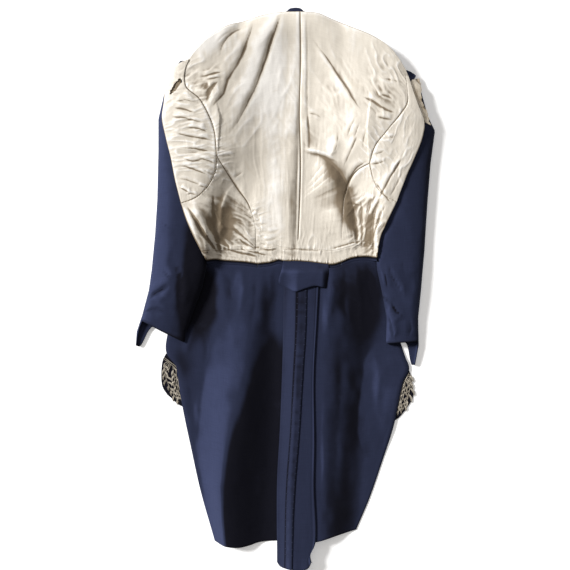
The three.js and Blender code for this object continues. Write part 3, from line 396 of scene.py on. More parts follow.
def shadeAndAgeGroup():
    # three colours by the hollow value: painted light on the ridges, the middle tone between, painted shade in the
    # hollows, all shifted a little by patches of random tone; and stains where noise is high
    group, given, gives = newGroup("clothShadeAndAge", [
        ("Vector", "Vector", None), ("Hollow", "Float", 0.5), ("Ridge", "Color", None), ("Middle", "Color", None),
        ("Depth", "Color", None), ("Patches", "Float", 12.0), ("Stain", "Color", None), ("Stains", "Float", 0.2)],
        [("Color", "Color"), ("Mask", "Float")])
    patch = noiseOf(group, given["Vector"], given["Patches"], 4.0, 0.55)
    shift = reckoned(group, "MULTIPLY", reckoned(group, "SUBTRACT", patch, 0.5), 0.35)
    level = reckoned(group, "ADD", given["Hollow"], shift, clamp=True)
    # painted light to middle tone, then middle tone to painted shade
    ridgeToMiddle = mixed(group, eased(group, level, 0.25, 0.5), given["Ridge"], given["Middle"])
    deep = mixed(group, eased(group, level, 0.55, 0.9), ridgeToMiddle, given["Depth"])
    spots = eased(group, noiseOf(group, given["Vector"], 22.0, 5.0, 0.65, 0.6), 0.58, 0.78)
    stained = mixed(group, reckoned(group, "MULTIPLY", spots, given["Stains"]), deep, given["Stain"])
    group.links.new(stained, gives["Color"])
    group.links.new(patch, gives["Mask"])
    return group


threads, shadeAndAge = threadGroup(), shadeAndAgeGroup()


def clothMaterial(name, look):  # the threads raise and tint the surface, and the shade-and-age group gives colour (painted light and shade by the hollow value, tone patches and stains) and roughness
    made = bpy.data.materials.new(name)
    made.use_nodes = True
    tree = made.node_tree
    weave = node(tree, "Group", {key: look[key.lower()] for key in ("Threads", "Slub", "Nap")}, node_tree=threads)
    tree.links.new(node(tree, "UVMap", uv_map="cloth").outputs["UV"], weave.inputs["Vector"])
    shadedAndAged = node(tree, "Group", {
        "Vector": node(tree, "TexCoord").outputs["Object"], "Patches": look["patches"], "Stains": look["stains"],
        "Hollow": node(tree, "Attribute", attribute_name="hollow").outputs["Fac"],
        **{key: (*look[key.lower()], 1) for key in ("Ridge", "Middle", "Depth", "Stain")}}, node_tree=shadeAndAge)
    grey = spread(tree, weave.outputs["Tone"], 1 - look["grain"], 1)
    bump = node(tree, "Bump", {"Strength": look["bump"], "Distance": 0.0004, "Height": weave.outputs["Height"]})
    shader = tree.nodes["Principled BSDF"]
    for value, key in ((mixed(tree, 1, shadedAndAged.outputs["Color"], grey, "MULTIPLY"), "Base Color"),
                       (spread(tree, shadedAndAged.outputs["Mask"], *look["rough"]), "Roughness"), (bump.outputs[0], "Normal")):
        tree.links.new(value, shader.inputs[key])
    for key, value in look["shader"].items():
        shader.inputs[key].default_value = value
    return made


# each look's ridge, middle and depth colours are its cloth under painted light, in its middle tone and under painted
# shade; its stain colour is soiling
woolLook = {"threads": 1100, "slub": 0.35, "nap": 0.9, "ridge": (0.038, 0.047, 0.100), "middle": (0.021, 0.026, 0.055),
            "depth": (0.006, 0.006, 0.011), "stain": (0.036, 0.041, 0.075), "patches": 9, "stains": 0.12,
            "grain": 0.22, "rough": (0.85, 0.98), "bump": 0.5,
            "shader": {"Sheen Weight": 0.04, "Sheen Roughness": 0.5, "Sheen Tint": (0.5, 0.6, 0.9, 1),
                       "Specular IOR Level": 0.08, "Metallic": 0.0}}
satinLook = {"threads": 1400, "slub": 0.8, "nap": 0.15, "ridge": (0.84, 0.81, 0.765), "middle": (0.69, 0.635, 0.55),
             "depth": (0.21, 0.16, 0.105), "stain": (0.52, 0.43, 0.30), "patches": 7, "stains": 0.3, "grain": 0.13,
             "rough": (0.36, 0.5), "bump": 0.16,
             "shader": {"Sheen Weight": 0.1, "Sheen Roughness": 0.4, "Sheen Tint": (1, 0.95, 0.85, 1),
                        "Specular IOR Level": 0.5, "Metallic": 0.0}}
metalLook = {"threads": 1900, "slub": 0.6, "nap": 0.3, "ridge": (0.52, 0.47, 0.39), "middle": (0.34, 0.30, 0.24),
             "depth": (0.07, 0.06, 0.055), "stain": (0.20, 0.16, 0.11), "patches": 60, "stains": 0.6, "grain": 0.4,
             "rough": (0.36, 0.55), "bump": 0.8,
             "shader": {"Sheen Weight": 0.0, "Sheen Roughness": 0.5, "Sheen Tint": (1, 1, 1, 1),
                        "Specular IOR Level": 0.5, "Metallic": 0.55}}
headLook = dict(satinLook, ridge=(0.74, 0.66, 0.54), middle=(0.62, 0.52, 0.39), depth=(0.16, 0.115, 0.06), stains=0.6)
stitchLook = dict(woolLook, ridge=(0.05, 0.06, 0.11), middle=(0.036, 0.042, 0.08), depth=(0.02, 0.024, 0.045))
silkLook = dict(satinLook, ridge=(0.72, 0.63, 0.49), middle=(0.6, 0.5, 0.37), depth=(0.4, 0.31, 0.21), bump=0.5)
wool = clothMaterial("blueBroadcloth", woolLook)
satin = clothMaterial("agedSatin", satinLook)
headSatin = clothMaterial("wornHeadSatin", headLook)
metalThread = clothMaterial("metalThread", metalLook)
woolThread = clothMaterial("blueThread", stitchLook)
silkThread = clothMaterial("silkThread", silkLook)
print("stage: materials made")


# the lines of the body's two halves, each from its upper or left end
halves = {
    "left": {
        "neck": [(18, 450), (-14, 449), (-50, 443), (-85, 431), (-115, 421), (-144, 401), (-164, 382), (-180, 361)],
        "shoulder": [(-216, 329), (-207, 346), (-194, 355), (-180, 361)],
        "open": [(-216, 329), (-222, 308), (-225, 284), (-228, 256), (-221, 220), (-212, 184), (-205, 148),
                 (-194, 104)],
        "armhole": [(-180, 361), (-188, 337), (-185, 311), (-162, 290), (-146, 263), (-135, 234), (-130, 187)],
        "foot": [(-130, 187), (-133, 162), (-146, 135), (-166, 115), (-194, 104)],
        "seam": [(-130, 187), (-112, 158), (-94, 131), (-76, 106), (-63, 67), (-61, 22)],
        "edge": [(-194, 104), (-185, 76), (-174, 50), (-158, 18)],
        "hemSide": [(-149, 3), (-135, 5), (-119, 3), (-79, 0), (-58, -3)],
        "hemBack": [(-58, -3), (-34, 0), (-20, 4), (-11, 2), (13, 2)],
    },
    "right": {
        "neck": [(18, 450), (50, 447), (76, 436), (106, 422), (148, 403), (178, 382), (193, 364), (205, 345)],
        "shoulder": [(205, 345), (212, 328), (218, 306), (221, 293)],
        "open": [(221, 293), (230, 274), (239, 248), (236, 223), (221, 184), (205, 148), (189, 106)],
        "armhole": [(205, 345), (208, 317), (209, 284), (197, 263), (174, 235), (151, 205), (141, 175)],
        "foot": [(141, 175), (149, 144), (162, 122), (189, 106)],
        "seam": [(141, 175), (121, 164), (109, 149), (99, 121), (94, 76), (92, 23)],
        "edge": [(189, 106), (179, 85), (173, 72), (162, 47), (157, 25)],
        "hemSide": [(92, 0), (113, 8), (137, 10), (155, 8)],
        "hemBack": [(13, 2), (38, 0), (61, -3), (78, -4), (92, 0)],
    },
}
# the centre seam, the vent's strips and its stay, the collar and the torn head, each from its upper or left end
centreSeam = [(18, 450), (19, 364), (17, 266), (19, 164), (14, 23)]
stripLeftEdge = [(-11, -22), (-12, -122), (-14, -200), (-18, -302), (-23, -396), (-23, -539)]
facingEdge = [(31, -22), (29, -108), (22, -218), (17, -302), (7, -433), (4, -550)]
stripRightEdge = [(53, -22), (48, -108), (43, -200), (44, -322), (43, -396), (45, -501), (36, -524), (38, -536)]
facingFoot = [(-23, -539), (-17, -546), (4, -550)]
underlapFoot = [(4, -550), (22, -551), (32, -547), (38, -536)]
stayLeftEdge = [(-12, 2.5), (-15, -14), (-20, -31), (-20, -38)]
stayRightEdge = [(69, -2), (70, -18), (68, -35), (66, -47)]
stayPoint = [(-20, -38), (-7, -46), (10, -53), (26, -48), (45, -43), (66, -47)]
collarEdge = [(-63, 433), (-27, 444), (-6, 451), (0, 456), (18, 456.5), (25, 451), (58, 441), (99, 421)]
collarFold = [(-50, 400), (-16, 411), (20, 415), (55, 408), (86, 392)]
tornHeadInner = [(213.5, 327), (219, 306), (223, 293), (231.5, 273.5), (240.5, 248)]
tornHeadOuter = [(232, 329), (235, 309), (234, 294), (243, 270), (251, 243)]

# sleeves, from armhole to cuff: y, outer fold, inner fold, how high it lies, thickness, where the cloth over it ends
sleeveLeftRows = [(326, -213, -150, 0, 21, -96), (300, -226, -134, 0, 26, -90), (256, -236, -124, 0, 29, -84),
                  (200, -236, -128, 0, 29, -84), (112, -238, -140, 0, 28, -92), (50, -242, -148, 0, 26, -112),
                  (18, -245, -148, 1.2, 25, -134), (-14, -248, -150, 2.5, 24, -144), (-50, -253, -159, 2.5, 23, -150),
                  (-95, -265, -176, 2.5, 20, -170), (-125, -275, -187, 2.5, 16, -180),
                  (-150, -277, -190, 2.5, 13, -180)]
sleeveRightRows = [(332, 215, 156, 0, 21, 108), (310, 234, 146, 0, 25, 104), (259, 248, 138, 0, 29, 100),
                   (235, 260, 136, 0, 29, 98), (175, 252, 140, 0, 29, 98), (112, 247, 148, 0, 28, 104),
                   (50, 243, 154, 0, 26, 120), (18, 241, 154, 1.2, 25, 140), (-14, 238, 156, 2.5, 24, 150),
                   (-50, 235, 164, 2.5, 23, 156), (-100, 230, 173, 2.5, 20, 165), (-150, 231, 172, 2.5, 16, 165),
                   (-188, 224, 172, 2.5, 12, 165)]
# tails, down from the waist: y, where the slope starts, crest and floor of the flute, height of the crest
fluteLeft = [(0, -140, -64, -24, 0), (-60, -150, -66, -22, 8), (-150, -172, -80, -22, 16), (-260, -178, -96, -24, 24),
             (-330, -174, -110, -26, 26), (-400, -162, -122, -30, 26), (-520, -136, -112, -34, 20)]
# the right one stays up towards the vent: y, where the slope starts, crest, height
fluteRight = [(0, 152, 72, 0), (-30, 152, 72, 7), (-60, 152, 72, 12), (-100, 155, 69, 15), (-150, 158, 66, 17),
              (-260, 142, 60, 19), (-400, 132, 56, 19), (-520, 118, 54, 18)]


# how high each layer lies

shell = {"overSleeve": 1.1, "widening": 1.14, "hold": 0.45, "round": 2.2, "widestAt": 0.3, "blend": 1.5,
         "blendReach": 6, "turned": 2.7, "turnedEnds": (30, 70), "roll": 9, "rollAt": 24, "rollEnds": (60, 120)}


def acrossSleeve(rows, x, y):  # -1 at the outer fold and 1 at the inner one
    outer, inner = columnAt(rows, 1, y), columnAt(rows, 2, y)
    return 2 * (x - outer) / (inner - outer) - 1


def holdPoint(rows, y):  # the cloth over a sleeve lies on it out to here, and falls inward from it
    outer, inner = columnAt(rows, 1, y), columnAt(rows, 2, y)
    return (outer + inner) / 2 + shell["hold"] * (inner - outer) / 2


def sleeveTop(rows, x, y):  # a flattened arch over the sleeve's width
    d = np.clip(np.abs(acrossSleeve(rows, x, y)) / shell["widening"], 0, 1)
    crown = (1 - d ** shell["round"]) ** (1 / shell["round"])
    rise = shell["widestAt"] + (1 - shell["widestAt"]) * crown
    return columnAt(rows, 3, y) + columnAt(rows, 4, y) * rise


def liftOverSleeve(rows, x, y):  # follows the sleeve's crown, then falls slowly inward
    d = acrossSleeve(rows, x, y)
    full = columnAt(rows, 3, y) + columnAt(rows, 4, y) + shell["overSleeve"]
    over = sleeveTop(rows, x, y) + shell["overSleeve"]
    fall = full * (1 - smooth(holdPoint(rows, y), columnAt(rows, 5, y), x))
    return np.where(d <= 0, over, np.where(d < 1, np.maximum(over, fall), fall))


neckLine = chained(drawn(halves["left"]["neck"], 16)[::-1], drawn(halves["right"]["neck"], 16))
slack = {"reach": 75, "y": (120, 215), "neck": (0, 45), "beside": (66, 105)}


def slackness(x, y, fromNeck):  # the slack cloth doesn't dip beside the sleeves, but falls slowly to the middle
    total = 0
    for rows, side in ((sleeveLeftRows, -1), (sleeveRightRows, 1)):
        full = columnAt(rows, 4, y) + shell["overSleeve"]
        hold, settled = holdPoint(rows, y), columnAt(rows, 5, y)
        slow = full * (1 - smooth(hold, settled - side * slack["reach"], x))
        total = total + np.where(x * side > 0, np.maximum(slow - full * (1 - smooth(hold, settled, x)), 0), 0)
    free = np.maximum(smooth(*slack["neck"], fromNeck), smooth(*slack["beside"], np.abs(x)))
    return total * smooth(*slack["y"], y) * free


def shellUnder(x, y):  # the wool's underside: a roll behind the turned neck, or the rise over a sleeve if higher
    t = nearLine(neckLine, x, y)[0]
    roll = shell["roll"] * t * np.exp(1 - t / shell["rollAt"]) / shell["rollAt"]
    neck = shell["turned"] * (1 - smooth(*shell["turnedEnds"], t)) + roll * (1 - smooth(*shell["rollEnds"], t))
    sleeve = np.where(x < 0, liftOverSleeve(sleeveLeftRows, x, y), liftOverSleeve(sleeveRightRows, x, y))
    sleeve = sleeve + slackness(x, y, t)
    near = np.maximum(1 - np.abs(neck - sleeve) / shell["blendReach"], 0) ** 2
    return np.maximum(neck, sleeve) + shell["blend"] * near * smooth(0, 3, np.minimum(neck, sleeve))


def shellTop(x, y):  # the wool's face under the lining
    return shellUnder(x, y) + coat["wool"]


# the lining's creases: the line, how wide the banks to the left and right of its run are, and how high each is
liningCreases = [
    ([(-10, 462), (-34, 392), (-50, 344), (-63, 310), (-76, 283), (-88, 256), (-112, 222)], 9, 12.5, 0.6, 4.3),
    ([(-62, 442), (-79, 385), (-94, 353), (-110, 326), (-117, 301), (-131, 284), (-152, 262)], 8, 9.5, 0.4, 2.6),
    ([(-80, 420), (-106, 405), (-121, 386), (-126, 360)], 6, 10, 0.8, 2.2),
    ([(-106, 412), (-118, 404), (-132, 390)], 3, 3.5, 0.9, 0.9),
    ([(-122, 328), (-137, 310), (-151, 281)], 7.2, 12.6, 0.3, 2.6),
    ([(40, 398), (67, 364), (90, 328), (112, 292), (128, 266)], 7.2, 4.7, 0.8, 2.2),
    ([(-160, 330), (-140, 334), (-119, 339)], 3, 6, 1.6, 1.2),
    ([(-150, 325), (-136, 327), (-122, 329)], 3, 10, 1.2, 1.6),
    ([(-130, 184), (-112, 162), (-104, 148), (-90, 126), (-74, 103)], 5.4, 7.2, 1.0, 1.3),
    ([(-137, 121), (-137, 97), (-131, 67)], 4.5, 6.3, 0.8, 1.8),
    ([(-185, 101), (-167, 74), (-151, 47), (-131, 18)], 5.4, 7.2, 3.4, 5.0),
    ([(-162, 72), (-144, 40), (-130, 14)], 3.6, 4.5, 1.2, 1.2),
    ([(-110, 68), (-90, 49), (-61, 25)], 5.4, 3.6, 1.9, 0.9),
    ([(-95, 43), (-79, 32), (-61, 23)], 4.5, 2.9, 1.5, 0.6), ([(-119, 25), (-81, 14), (-50, 9)], 5.4, 3.6, 2.0, 0.6),
    ([(-90, 22), (-61, 16), (-34, 11)], 4.5, 2.9, 1.6, 0.6), ([(-50, 38), (-36, 40), (-20, 45)], 4.3, 3.6, 1.3, 0.6),
    ([(-50, 23), (-34, 22), (-20, 25)], 4.3, 3.6, 1.3, 0.6), ([(-43, 52), (-31, 54), (-18, 59)], 4.0, 3.6, 0.7, 0.4),
    ([(-128, 201), (-112, 199), (-92, 202)], 4.3, 3.6, 0.7, 0.4),
    ([(-127, 186), (-114, 188), (-98, 187)], 4.3, 3.6, 0.6, 0.4),
    ([(-102, 146), (-94, 155), (-82, 163)], 3.6, 3.6, 0.5, 0.7),
    ([(32, 266), (45, 265), (59, 257)], 4.3, 3.6, 0.8, 0.8), ([(32, 270), (34, 238), (34, 198)], 5.4, 3.6, 0.9, 1.2),
    ([(86, 229), (83, 207), (74, 187)], 3.6, 6, 0.7, 1.6),
    ([(46, 197), (68, 182), (89, 160), (101, 138), (110, 112), (117, 85), (121, 50), (122, 16)], 6, 21, 0.5, 9.5),
    ([(139, 180), (119, 167), (108, 151), (99, 128)], 5.4, 5.4, 1.6, 1.6),
    ([(126, 295), (148, 284), (169, 270), (193, 263)], 5.4, 3.6, 1.6, 1.0),
    ([(151, 257), (167, 254), (185, 252)], 4.7, 3.6, 1.6, 0.5),
    ([(146, 191), (157, 193), (169, 198)], 4.0, 3.2, 1.4, 0.5),
    ([(142, 173), (155, 175), (171, 180)], 4.7, 3.2, 1.8, 0.6),
    ([(164, 218), (175, 220), (187, 221)], 3.6, 2.9, 0.9, 0.4),
    ([(148, 144), (164, 122), (184, 99)], 4.0, 4.0, 1.2, 1.0),
    ([(207, 203), (193, 173), (176, 146), (162, 121), (151, 92)], 4.7, 4.3, 1.2, 1.4),
    ([(198, 185), (182, 157), (167, 133)], 3.6, 3.6, 0.6, 0.9),
    ([(203, 162), (189, 137), (176, 112)], 4.3, 3.6, 0.8, 1.0),
    ([(157, 292), (164, 295), (176, 293)], 3.6, 3.6, 1.0, 0.6),
    ([(160, 328), (180, 324), (202, 319)], 4.0, 3.6, 1.0, 0.6),
    ([(117, 259), (108, 238), (101, 220)], 3.6, 3.6, 0.5, 0.7),
    ([(124, 248), (119, 234), (113, 216)], 3.6, 3.6, 0.5, 0.8),
    ([(122, 230), (112, 207), (95, 169)], 4.3, 3.6, 0.5, 1.2),
    ([(137, 241), (131, 220), (130, 198)], 5.4, 3.6, 0.6, 0.6),
    ([(153, 119), (142, 104), (137, 83)], 5.4, 5.4, 1.4, 1.6), ([(126, 112), (128, 76), (129, 22)], 4, 4, 1.6, 0.9),
    ([(169, 103), (158, 76), (149, 43), (149, 11)], 4.7, 5.4, 2.6, 1.6),
    ([(154, 106), (150, 86), (146, 54), (146, 20)], 4.5, 9, 1.4, 4.2),
    ([(99, 104), (112, 103), (126, 101)], 4.3, 3.6, 1.4, 0.5),
    ([(65, 20), (90, 27), (112, 34), (139, 38)], 4.0, 3.6, 0.9, 1.6),
    ([(4, 23), (32, 22), (65, 20)], 4.0, 3.6, 0.5, 1.0),
    ([(-187, 306), (-180, 299), (-173, 295)], 3.6, 3.6, 1.0, 1.0),
    ([(-180, 320), (-180, 310), (-180, 297)], 2.9, 2.9, 0.9, 0.9),
    ([(-205, 286), (-191, 286), (-169, 283)], 4.3, 2.9, 1.8, 0.6),
    ([(-209, 274), (-187, 270), (-162, 261)], 4.3, 3.4, 1.4, 0.5),
    ([(-212, 257), (-184, 254), (-153, 245)], 4.3, 3.4, 2.1, 0.6),
    ([(-184, 239), (-166, 236), (-146, 230)], 4.6, 3.4, 2.4, 0.7),
    ([(-211, 230), (-171, 221), (-133, 214)], 4.6, 3.4, 2.3, 0.7),
    ([(-198, 203), (-169, 200), (-137, 194)], 4.3, 3.4, 1.9, 0.7),
    ([(-194, 185), (-175, 178), (-155, 182), (-131, 184)], 3.8, 3.2, 2.2, 0.9),
    ([(-162, 184), (-148, 180), (-130, 175)], 2.9, 2.9, 1.6, 0.6),
    ([(-196, 171), (-173, 164), (-140, 151)], 4.0, 3.2, 1.8, 0.6),
    ([(-157, 164), (-146, 158), (-131, 153)], 2.9, 2.9, 1.4, 0.6),
    ([(-202, 148), (-180, 144), (-155, 133)], 3.8, 3.2, 1.1, 0.5),
    ([(-196, 131), (-187, 128), (-176, 121)], 3.2, 2.9, 1.6, 0.6),
    ([(-164, 133), (-157, 133), (-144, 130)], 2.9, 2.6, 1.4, 0.6),
    ([(-184, 119), (-175, 121), (-162, 117)], 2.9, 2.6, 1.4, 0.6),
]
# and its soft ridges: the line, its width to the left and right of its run, its rise (a hollow is negative)
liningFolds = [
    ([(-101, 137), (-115, 113), (-122, 94), (-124, 61), (-122, 27), (-118, 0)], 34, 6, 5.2),
    ([(24, 204), (50, 198), (70, 190), (86, 180)], 9, 2.4, 4.6), ([(74, 187), (81, 202), (86, 223)], 7.2, 2.3, 2.4),
    ([(-193, 103), (-169, 56), (-155, 16)], 4.5, 5.4, 2.0), ([(-173, 106), (-149, 65), (-124, 27)], 5.4, 4.5, 2.2),
    ([(155, 72), (151, 40), (157, 9)], 3.6, 4.3, 2.6),
    ([(-36, 364), (-25, 256), (-25, 112), (-23, 22)], 28.8, 25.2, 2.4),
    ([(-90, 202), (-68, 148), (-68, 85)], 21.6, 21.6, -1.0),
    ([(-169, 205), (-144, 274), (-115, 331)], 9.0, 10.8, 1.6),
    ([(72, 346), (108, 274), (112, 202)], 25.2, 21.6, 1.5),
]
# crumpled patches: centre, reach across and down, the creases' direction, length and spacing, and their rise
crumples = [
    (172, 322, 42, 70, 118, 26, 10, 1.5), (-160, 330, 34, 46, 52, 26, 11, 1.2), (-184, 236, 38, 84, 4, 34, 7.5, 1.9),
    (-112, 62, 62, 56, 148, 30, 9, 1.6), (-52, 24, 52, 22, 160, 24, 7, 1.4), (138, 74, 38, 62, 62, 26, 9, 1.9),
    (156, 196, 34, 52, 130, 22, 9, 1.3), (-126, 170, 26, 34, 8, 22, 8, 1.2), (70, 36, 60, 30, 96, 30, 9, 0.8),
    (60, 300, 70, 110, 122, 60, 16, 0.9), (-60, 300, 70, 110, 66, 60, 18, 0.9), (-20, 120, 90, 110, 88, 70, 12, 0.5),
    (200, 190, 26, 80, 72, 30, 8, 1.1),
]
# the centre pleat: pressed lines with a narrow edge that stands up between them
pleatCreases = [
    ([(18, 462), (17, 330), (15, 210), (13, 60), (11, -20)], 3, 7, 0.8, 0.7),
    ([(16, 320), (14, 210), (11, 110), (8, -40)], 5, 14, 0.6, 3.4),
    ([(30, 470), (31, 330), (33, 180)], 3, 5, 0.5, 1.5),
]
pleatFolds = [([(26, 470), (27, 330), (23, 200), (18, -10)], 1.6, 2.4, 0.45)]
armholeSeamLeft, armholeSeamRight = (
    chained(drawn(halves[sideName]["armhole"], 24), drawn(halves[sideName]["foot"], steps))
    for sideName, steps in (("left", 16), ("right", 12)))
sideSeamLineLeft = drawn(halves["left"]["seam"], 18)
hemLine = np.array([(-158, 20), (-61, 22), (14, 23), (70, 20), (92, 23), (135, 37), (157, 25)], float)
roundWaist = (("left", "side"), ("left", "back"), ("right", "back"), ("right", "side"))
hemFoot = chained(*[np.array(halves[sideName]["hem" + key.title()], float) for sideName, key in roundWaist])
gatherLine = drawn([(-70, 104), (-56, 84), (-52, 50), (-56, 12)], 10)
# the small puckers at the seams: the line, their reach, spacing, rise, pattern and lean
seamPuckers = [(armholeSeamLeft, 21, 4.6, 1.5, 11, 0.25), (armholeSeamRight, 11, 5.5, 0.9, 12, -0.2),
               (sideSeamLineLeft, 9, 5, 0.7, 13), (hemLine, 10, 6, 1.0, 15), (hemFoot, 8, 5, 1.5, 17),
               (gatherLine, 13, 4.2, 1.0, 16)]


def liningRelief(x, y):  # the folds and creases as drawn, and small puckers that leave the seams
    total = foldSum(liningFolds, x, y) + creaseSum(liningCreases, x, y) + crumple(crumples, x, y)
    total += creaseSum(pleatCreases, x, y, 0.5) + foldSum(pleatFolds, x, y, 0.5)
    for line, *kind in seamPuckers:
        total += puckers(line, x, y, *kind)
    # slack cloth hangs in long soft draws, and is uneven a little everywhere
    total += 0.6 * softNoise(x / 19, y / 95, 31) + 0.4 * softNoise((x + y) / 30, (y - x) / 60, 32)
    total += 0.16 * softNoise(x / 7, y / 9, 33) + 0.12 * softNoise(x / 3.2, y / 26, 34)
    return total


def seamStrength(x, y):  # how plainly a seam shows: the lower side seams and the hem's tuck are lost in the creases
    lowerRight = smooth(135, 112, y) * smooth(60, 78, x) * smooth(140, 128, x)
    lowerLeft = 0.95 * smooth(108, 88, y) * smooth(-90, -78, x) * smooth(-40, -50, x)
    tuck = 0.95 * smooth(44, 34, y) * smooth(-150, -140, x) * smooth(150, 140, x)
    shoulders = 0.9 * smooth(-140, -150, x) * smooth(308, 322, y) + 0.9 * smooth(150, 160, x) * smooth(284, 300, y)
    foot = 0.75 * smooth(136, 142, x) * smooth(158, 146, y)
    return np.clip(1 - 0.9 * lowerRight - lowerLeft - tuck - shoulders - foot, 0.06, 1)


def aboveShell(relief):  # the relief eased, so that no hollow goes under the shell
    return 0.5 * (relief + np.sqrt(relief * relief + 0.3))


def overShell(x, y):  # where the satin's face lies before it is folded
    return shellTop(x, y) + coat["plyGap"] + coat["satin"]


def liningTop(points, puffRise, extra=0.0):
    # over the shell: puffed between its edges, folded, and turned down at its seams
    rows, columns = points.shape[:2]
    u = np.linspace(-1, 1, columns)[None]
    v = np.linspace(-1, 1, rows)[:, None]
    x, y = points[..., 0], points[..., 1]
    edge = edgeDistance(points)
    puff = puffRise * (1 - u**4) * (1 - v**4)
    strength = seamStrength(x, y)
    relief = 0.7 + puff + liningRelief(x, y) * (1 - 0.6 * strength * (1 - smooth(0, 4, edge)))
    z = overShell(x, y) + np.maximum(aboveShell(relief) - turnDown(edge, strength, 1.8), 0) + extra
    return np.dstack([x, y, z]), edge


# how many steps each line is read off in
fineRows = {"armhole": 120, "seam": 120, "edge": 120, "hem": 16, "foot": 60, "hemSide": 60, "hemBack": 110,
            "neck": 110, "shoulder": 56, "open": 180, "centre": 240}


def bodySide(left, **lines):
    # the panels of one half of the body: each filled in from its edges, which run on down to the hem
    line = {key: drawn(points, fineRows[key]) for key, points in lines.items()}
    near, far = (0, -1) if left else (-1, 0)
    down = {key: chained(line[key], drawn([line[key][-1], end], fineRows["hem"]))
            for key, end in (("seam", line["hemBack"][near]), ("centre", line["hemBack"][far]),
                             ("edge", line["hemSide"][near]))}
    armholeDown = chained(line["armhole"], down["seam"])
    front = curveThrough(chained(line["open"], down["edge"]), np.linspace(0, 1, len(armholeDown)))
    frontHem = drawn(lines["hemSide"], fineRows["shoulder"])
    point = np.repeat(line["foot"][-1:], len(line["shoulder"]), axis=0)
    turned = slice(None, None, -1 if left else 1)
    panels = {"back": (armholeDown, down["centre"], line["neck"][turned], line["hemBack"]),
              "side": (down["edge"], down["seam"], line["foot"][turned], line["hemSide"]),
              "chest": (line["open"], chained(line["armhole"], line["foot"]), line["shoulder"], point),
              "front": (front, armholeDown, line["shoulder"], frontHem)}
    return {key: panelGrid(*(edges[:2] if left else edges[1::-1]), *edges[2:]) for key, edges in panels.items()}


body = {sideName: bodySide(sideName == "left", centre=centreSeam, **lines) for sideName, lines in halves.items()}


def patchSum(patches, x, y):  # soft round patches, each strongest at its centre
    return sum(more * np.exp(-(((x - cx) / rx) ** 2) - ((y - cy) / ry) ** 2) for cx, cy, rx, ry, more in patches)


# patches of painted shade on the wool (the sleeves' cast shadows among them), and of painted light where the amount is
# below nought: centre, reach across and down, and how much
woolLightAndShadePatches = [
    (140, -66, 30, 66, 0.5), (100, -40, 26, 50, 0.15), (45, -60, 14, 60, 0.12), (76, -180, 26, 48, 0.18),
    (99, -440, 52, 64, 0.10), (167, -243, 20, 60, -0.16), (-150, -430, 22, 60, -0.10), (-118, -60, 40, 44, 0.12),
    (-162, -60, 30, 50, 0.46), (-172, 30, 15, 46, 0.34), (-40, -60, 30, 30, 0.08), (120, -300, 24, 120, 0.1),
    (-232, 60, 18, 110, -0.24), (-190, -260, 30, 90, 0.06), (222, -60, 12, 80, -0.14), (-178, -30, 16, 110, 0.24),
    (-160, -260, 26, 60, -0.08), (-104, -330, 14, 100, 0.26), (-118, -110, 16, 60, 0.1), (-186, -66, 17, 60, 0.34),
    (-150, -84, 17, 62, 0.42), (-196, -186, 20, 44, 0.26), (-112, -474, 30, 56, 0.26), (-150, -380, 16, 60, 0.06),
]
# the painted shade over the left tail's deep flute begins here: y, x
tailShadeEdge = [(-60, -10), (-167, -54), (-227, -76), (-288, -95), (-347, -112), (-407, -121), (-520, -124)]


def woolPaintedShade(points, slopeShading=0.7):  # painted light on slopes that face left and painted shade on slopes that turn to the right, as the light from the left falls on them; painted shade in hollows; and the painted patches
    x, y, z = points[..., 0], points[..., 1], points[..., 2]
    across = np.gradient(x, axis=1)
    across = np.where(np.abs(across) < 0.05, 0.05, across)
    slope = np.clip(np.gradient(z, axis=1) / across, -0.8, 0.8)
    depth = 0.5 - slopeShading * slope + 0.35 * (hollowness(z, 5, 2.5) - 0.5)
    return np.clip(depth + patchSum(woolLightAndShadePatches, x, y), 0.05, 1)


# the wool shells under the lining: how far under its full thickness the face lies, how much thinner it is,
# how far it turns down at its edge and goes on below the hem, and how dark the painted shadow under the hem is on the
# rows there
shells = {"lower": 0.35, "thinner": 0.85, "fall": 0.5, "below": 7, "shade": (0.95, 0.85, 0.62, 0.5),
          "back": (0.40, 0.47, 0.124), "left": (0.13, 0.36, 0.033), "right": (0.11, 0.35, 0.024)}
# where the wool peeks out at the shoulders or sinks at the waist's corner: place, reach, how far across, up and down
peeks = [(211, 333, 10, 15, 1, 0), (-192, 352, 6, -3, 4, 0), (-148, 22, 7, 0, 0, 3)]


def waistRun(grid):  # a little below the lining's hem, level with it
    steps = np.arange(1, 4)[:, None, None] * np.array([0, -shells["below"] / 3])
    return np.concatenate([grid, grid[-1:] + steps]), np.pad(grid[..., 1], ((0, 3), (0, 0)), mode="edge")


def shellSheet(name, grid, nodes, cut):  # the shell's form, with its small peeks, as one laid sheet
    grid, heightY = waistRun(grid)
    x, y = grid[..., 0], grid[..., 1]
    sink = 0
    fromArmhole = np.linspace(0, 1, x.shape[1])[::1 if "Right" in name else -1]
    for px, py, reach, out, up, down in peeks if "front" in name else []:
        near = np.exp(-((x - px) ** 2 + (y - py) ** 2) / reach**2) * smooth(0, 0.12, fromArmhole)
        x, y, sink = x + out * near, y + up * near, sink + down * near
    z = shellUnder(x, heightY) - sink + coat["wool"] - shells["lower"]
    z = z - turnDown(edgeDistance(grid, bottom=False), shells["fall"])
    hollow = np.full(x.shape, 0.5)
    # painted shadow under the lining's hem on the last rows
    hollow[-4:] = np.array(shells["shade"])[:, None]
    made = clothPiece(name, np.dstack([x, y, z]), coat["wool"] - shells["thinner"], wool, lip=0.0, hollow=hollow)
    return finishPiece(made, nodes, cut)


